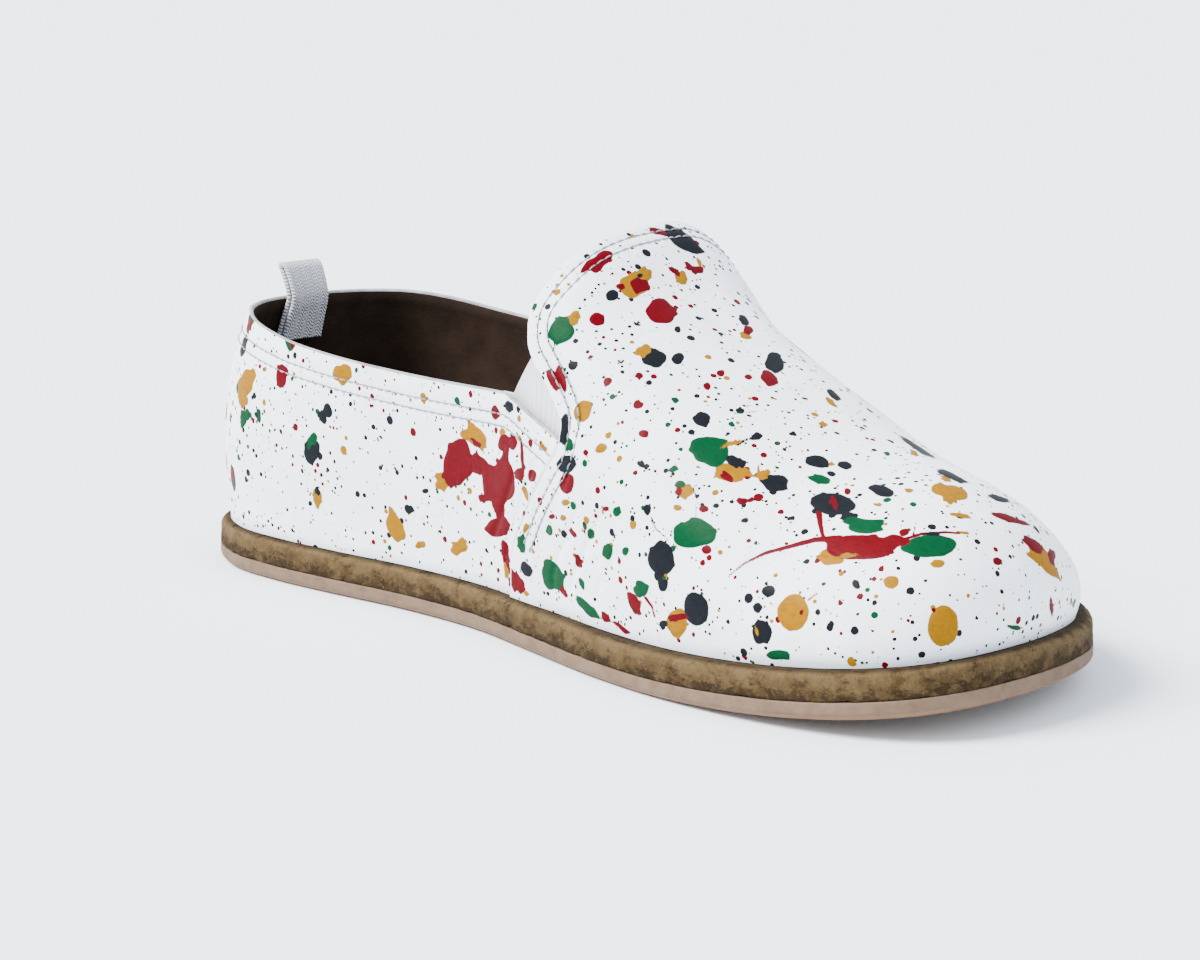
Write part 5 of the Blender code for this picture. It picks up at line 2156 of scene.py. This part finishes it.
@dataclass(frozen=True)
class Studio:
    """Pale floor, soft light and the camera of the photo."""

    floor_size: float = 60.0
    key_energy: float = 11.8
    fill_energy: float = 1.0
    sky: float = 2.1
    sky_colour: Colour = (0.82, 0.90, 1.0)
    floor_colour: Colour = (0.79, 0.825, 0.86)
    lens: float = 92.0
    target: tuple[float, float] = (738.0, 685.0)

    def floor(self) -> bpy.types.Object:
        """Pale matt floor under the sole.

        Returns:
            The floor.
        """
        half = self.floor_size / 2.0
        points = np.array([(-half, -half, 0.0), (half, -half, 0.0), (half, half, 0.0), (-half, half, 0.0)])
        shader = Shader("pale_floor", self.floor_colour, 0.8, Specular_IOR_Level=0.15)
        piece = mesh_object("floor", None, points, np.array([[0, 1, 2, 3]]), (shader.material,))
        return piece

    def lamp(self, name: str, place: Sequence[float], spread: float, energy: float,
             colour: Colour) -> bpy.types.Object:
        """Distant soft lamp that shines towards the shoe from a direction.

        Args:
            name: Object's name.
            place: Direction that the light comes from.
            spread: Angle that the lamp fills, in degrees.
            energy: Strength.
            colour: Colour of the light.

        Returns:
            The lamp.
        """
        data = bpy.data.lights.new(name, "SUN")
        data.angle = math.radians(spread)
        data.energy = energy
        data.color = colour
        lamp = bpy.data.objects.new(name, data)
        lamp.rotation_euler = (-Vector(place)).to_track_quat("-Z", "Y").to_euler()
        bpy.context.scene.collection.objects.link(lamp)
        return lamp

    def camera(self) -> bpy.types.Object:
        """Camera at the photo's point of view, turned to centre the whole shoe.

        Returns:
            The camera.
        """
        seen = PhotoView()
        right, up, back = seen.basis()
        across, down = ((place - middle) / seen.focal for place, middle in zip(self.target, seen.middle))
        look = unit(-back + right * across - up * down)
        data = bpy.data.cameras.new("camera")
        data.lens = self.lens
        data.clip_start = 0.02
        camera = bpy.data.objects.new("camera", data)
        camera.location = seen.eye
        camera.rotation_euler = Vector(look).to_track_quat("-Z", "Y").to_euler()
        bpy.context.scene.collection.objects.link(camera)
        return camera

    def build(self) -> None:
        """Builds floor, lights, world and camera."""
        self.floor()
        self.lamp("key", (-0.55, -0.95, 1.25), 30.0, self.key_energy, (1.0, 0.985, 0.96))
        self.lamp("fill", (1.2, 0.35, 0.9), 70.0, self.fill_energy, (0.90, 0.95, 1.0))
        world = bpy.data.worlds.new("pale_room")
        world.use_nodes = True
        sky = world.node_tree.nodes["Background"]
        sky.inputs[0].default_value = (*self.sky_colour, 1.0)
        sky.inputs[1].default_value = self.sky
        bpy.context.scene.world = world
        bpy.context.scene.camera = self.camera()


@dataclass(frozen=True)
class Soles:
    """The stacked layers under the upper, and the insole inside it."""

    outsole: float = OUTSOLE_THICKNESS
    midsole: float = MIDSOLE_THICKNESS
    insole: float = 0.0025
    bevel: float = 0.0026
    wear: float = 0.03
    shoulder: float = 0.30
    nap: float = 0.28 * MM
    seat: float = 0.1 * MM

    def outsole_layer(self) -> bpy.types.Object:
        """Outsole: a sunk field, a flat border, a bevel and an upright edge.

        Returns:
            The piece.
        """
        tall, bevel = self.outsole, self.bevel
        under = ((0.0069, 0.32 * MM), (0.0066, 0.29 * MM), (0.0064, 0.03 * MM), (0.0062, 0.0),
                 (bevel + 0.0012, 0.0), (bevel, 0.02 * MM), (bevel * 0.62, 0.10 * MM))
        edge = ((bevel * 0.25, 0.16 * tall), (bevel * 0.08, 0.28 * tall))
        edge += tuple((0.0, share * tall) for share in (0.42, 0.52, 0.62, 0.72, 0.82, 0.91))
        edge += ((0.03 * MM, 0.98 * tall), (0.12 * MM, tall), (0.6 * MM, tall))
        slots = [0] * (len(under) + 1) + [1] * (len(edge) - 1)
        return SoleLayer("outsole_rubber", "outsole", 0.0, under + edge).build(
            (TREAD.material(), SOLE_SIDE.material()), slots)

    def midsole_layer(self) -> bpy.types.Object:
        """Midsole: a rounded, napped raw edge that leans in towards its top.

        Returns:
            The piece.
        """
        tall = self.midsole
        heights = np.linspace(0.0, 1.0, 20)
        worn = (self.wear * np.exp(-heights / 0.05) + self.shoulder * np.exp(-(1.0 - heights) / 0.10)
                + self.wear * np.sin(heights * 3.0)**2) * tall
        rows = ((0.4 * MM, 0.0), *zip(worn, heights * tall), (1.9 * MM, tall + 0.02 * MM), (2.4 * MM, tall))
        layer = SoleLayer("midsole_leather", "midsole", self.outsole + self.seat, rows, 900, self.nap)
        return layer.build((RawLeather().material(),), [0] * len(rows))

    def insole_layer(self) -> bpy.types.Object:
        """Insole: a thin sheet inside the upper's wall.

        Returns:
            The piece.
        """
        thick = self.insole
        rows = ((0.15 * MM, 0.0), (0.0, 0.25 * thick), (0.0, 0.75 * thick), (0.15 * MM, thick))
        layer = SoleLayer("insole_leather", "insole", LAST.feather, rows, 260, inside=True)
        return layer.build((INSOLE.material(),), [0] * len(rows))

    def build(self) -> list[bpy.types.Object]:
        """Builds outsole, studs, midsole and insole."""
        return [self.outsole_layer(), Tread().build(STUDS.material()), self.midsole_layer(),
                self.insole_layer()]


def main() -> None:
    """Builds the shoe and its stage, and logs each piece."""
    logging.basicConfig(level=logging.INFO, format="%(message)s")
    sheets = (WhiteLeather().material(), LINING.material(), CUT_EDGE.material())
    thread_finish = THREAD.material()
    leather = Leather()
    web = RibbedElastic().material()
    pieces = [leather.vamp(sheets), leather.quarter(sheets),
              leather.stitches("vamp_stitches", leather.vamp_lines, thread_finish),
              leather.stitches("quarter_stitches", leather.quarter_lines, thread_finish),
              leather.pinholes(leather.vamp_lines + leather.quarter_lines, NEEDLE_HOLE_SHADE.material()),
              Gore(Side.INNER, "gore_medial").build(web), Gore(Side.OUTER, "gore_lateral").build(web),
              PullTab().build(Webbing().material()), *Soles().build()]
    for piece in pieces:
        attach(piece, ROOT)
        LOG.info("%s: %d faces", piece.name, len(piece.data.polygons))
    Studio().build()


if __name__ == "__main__":
    main()
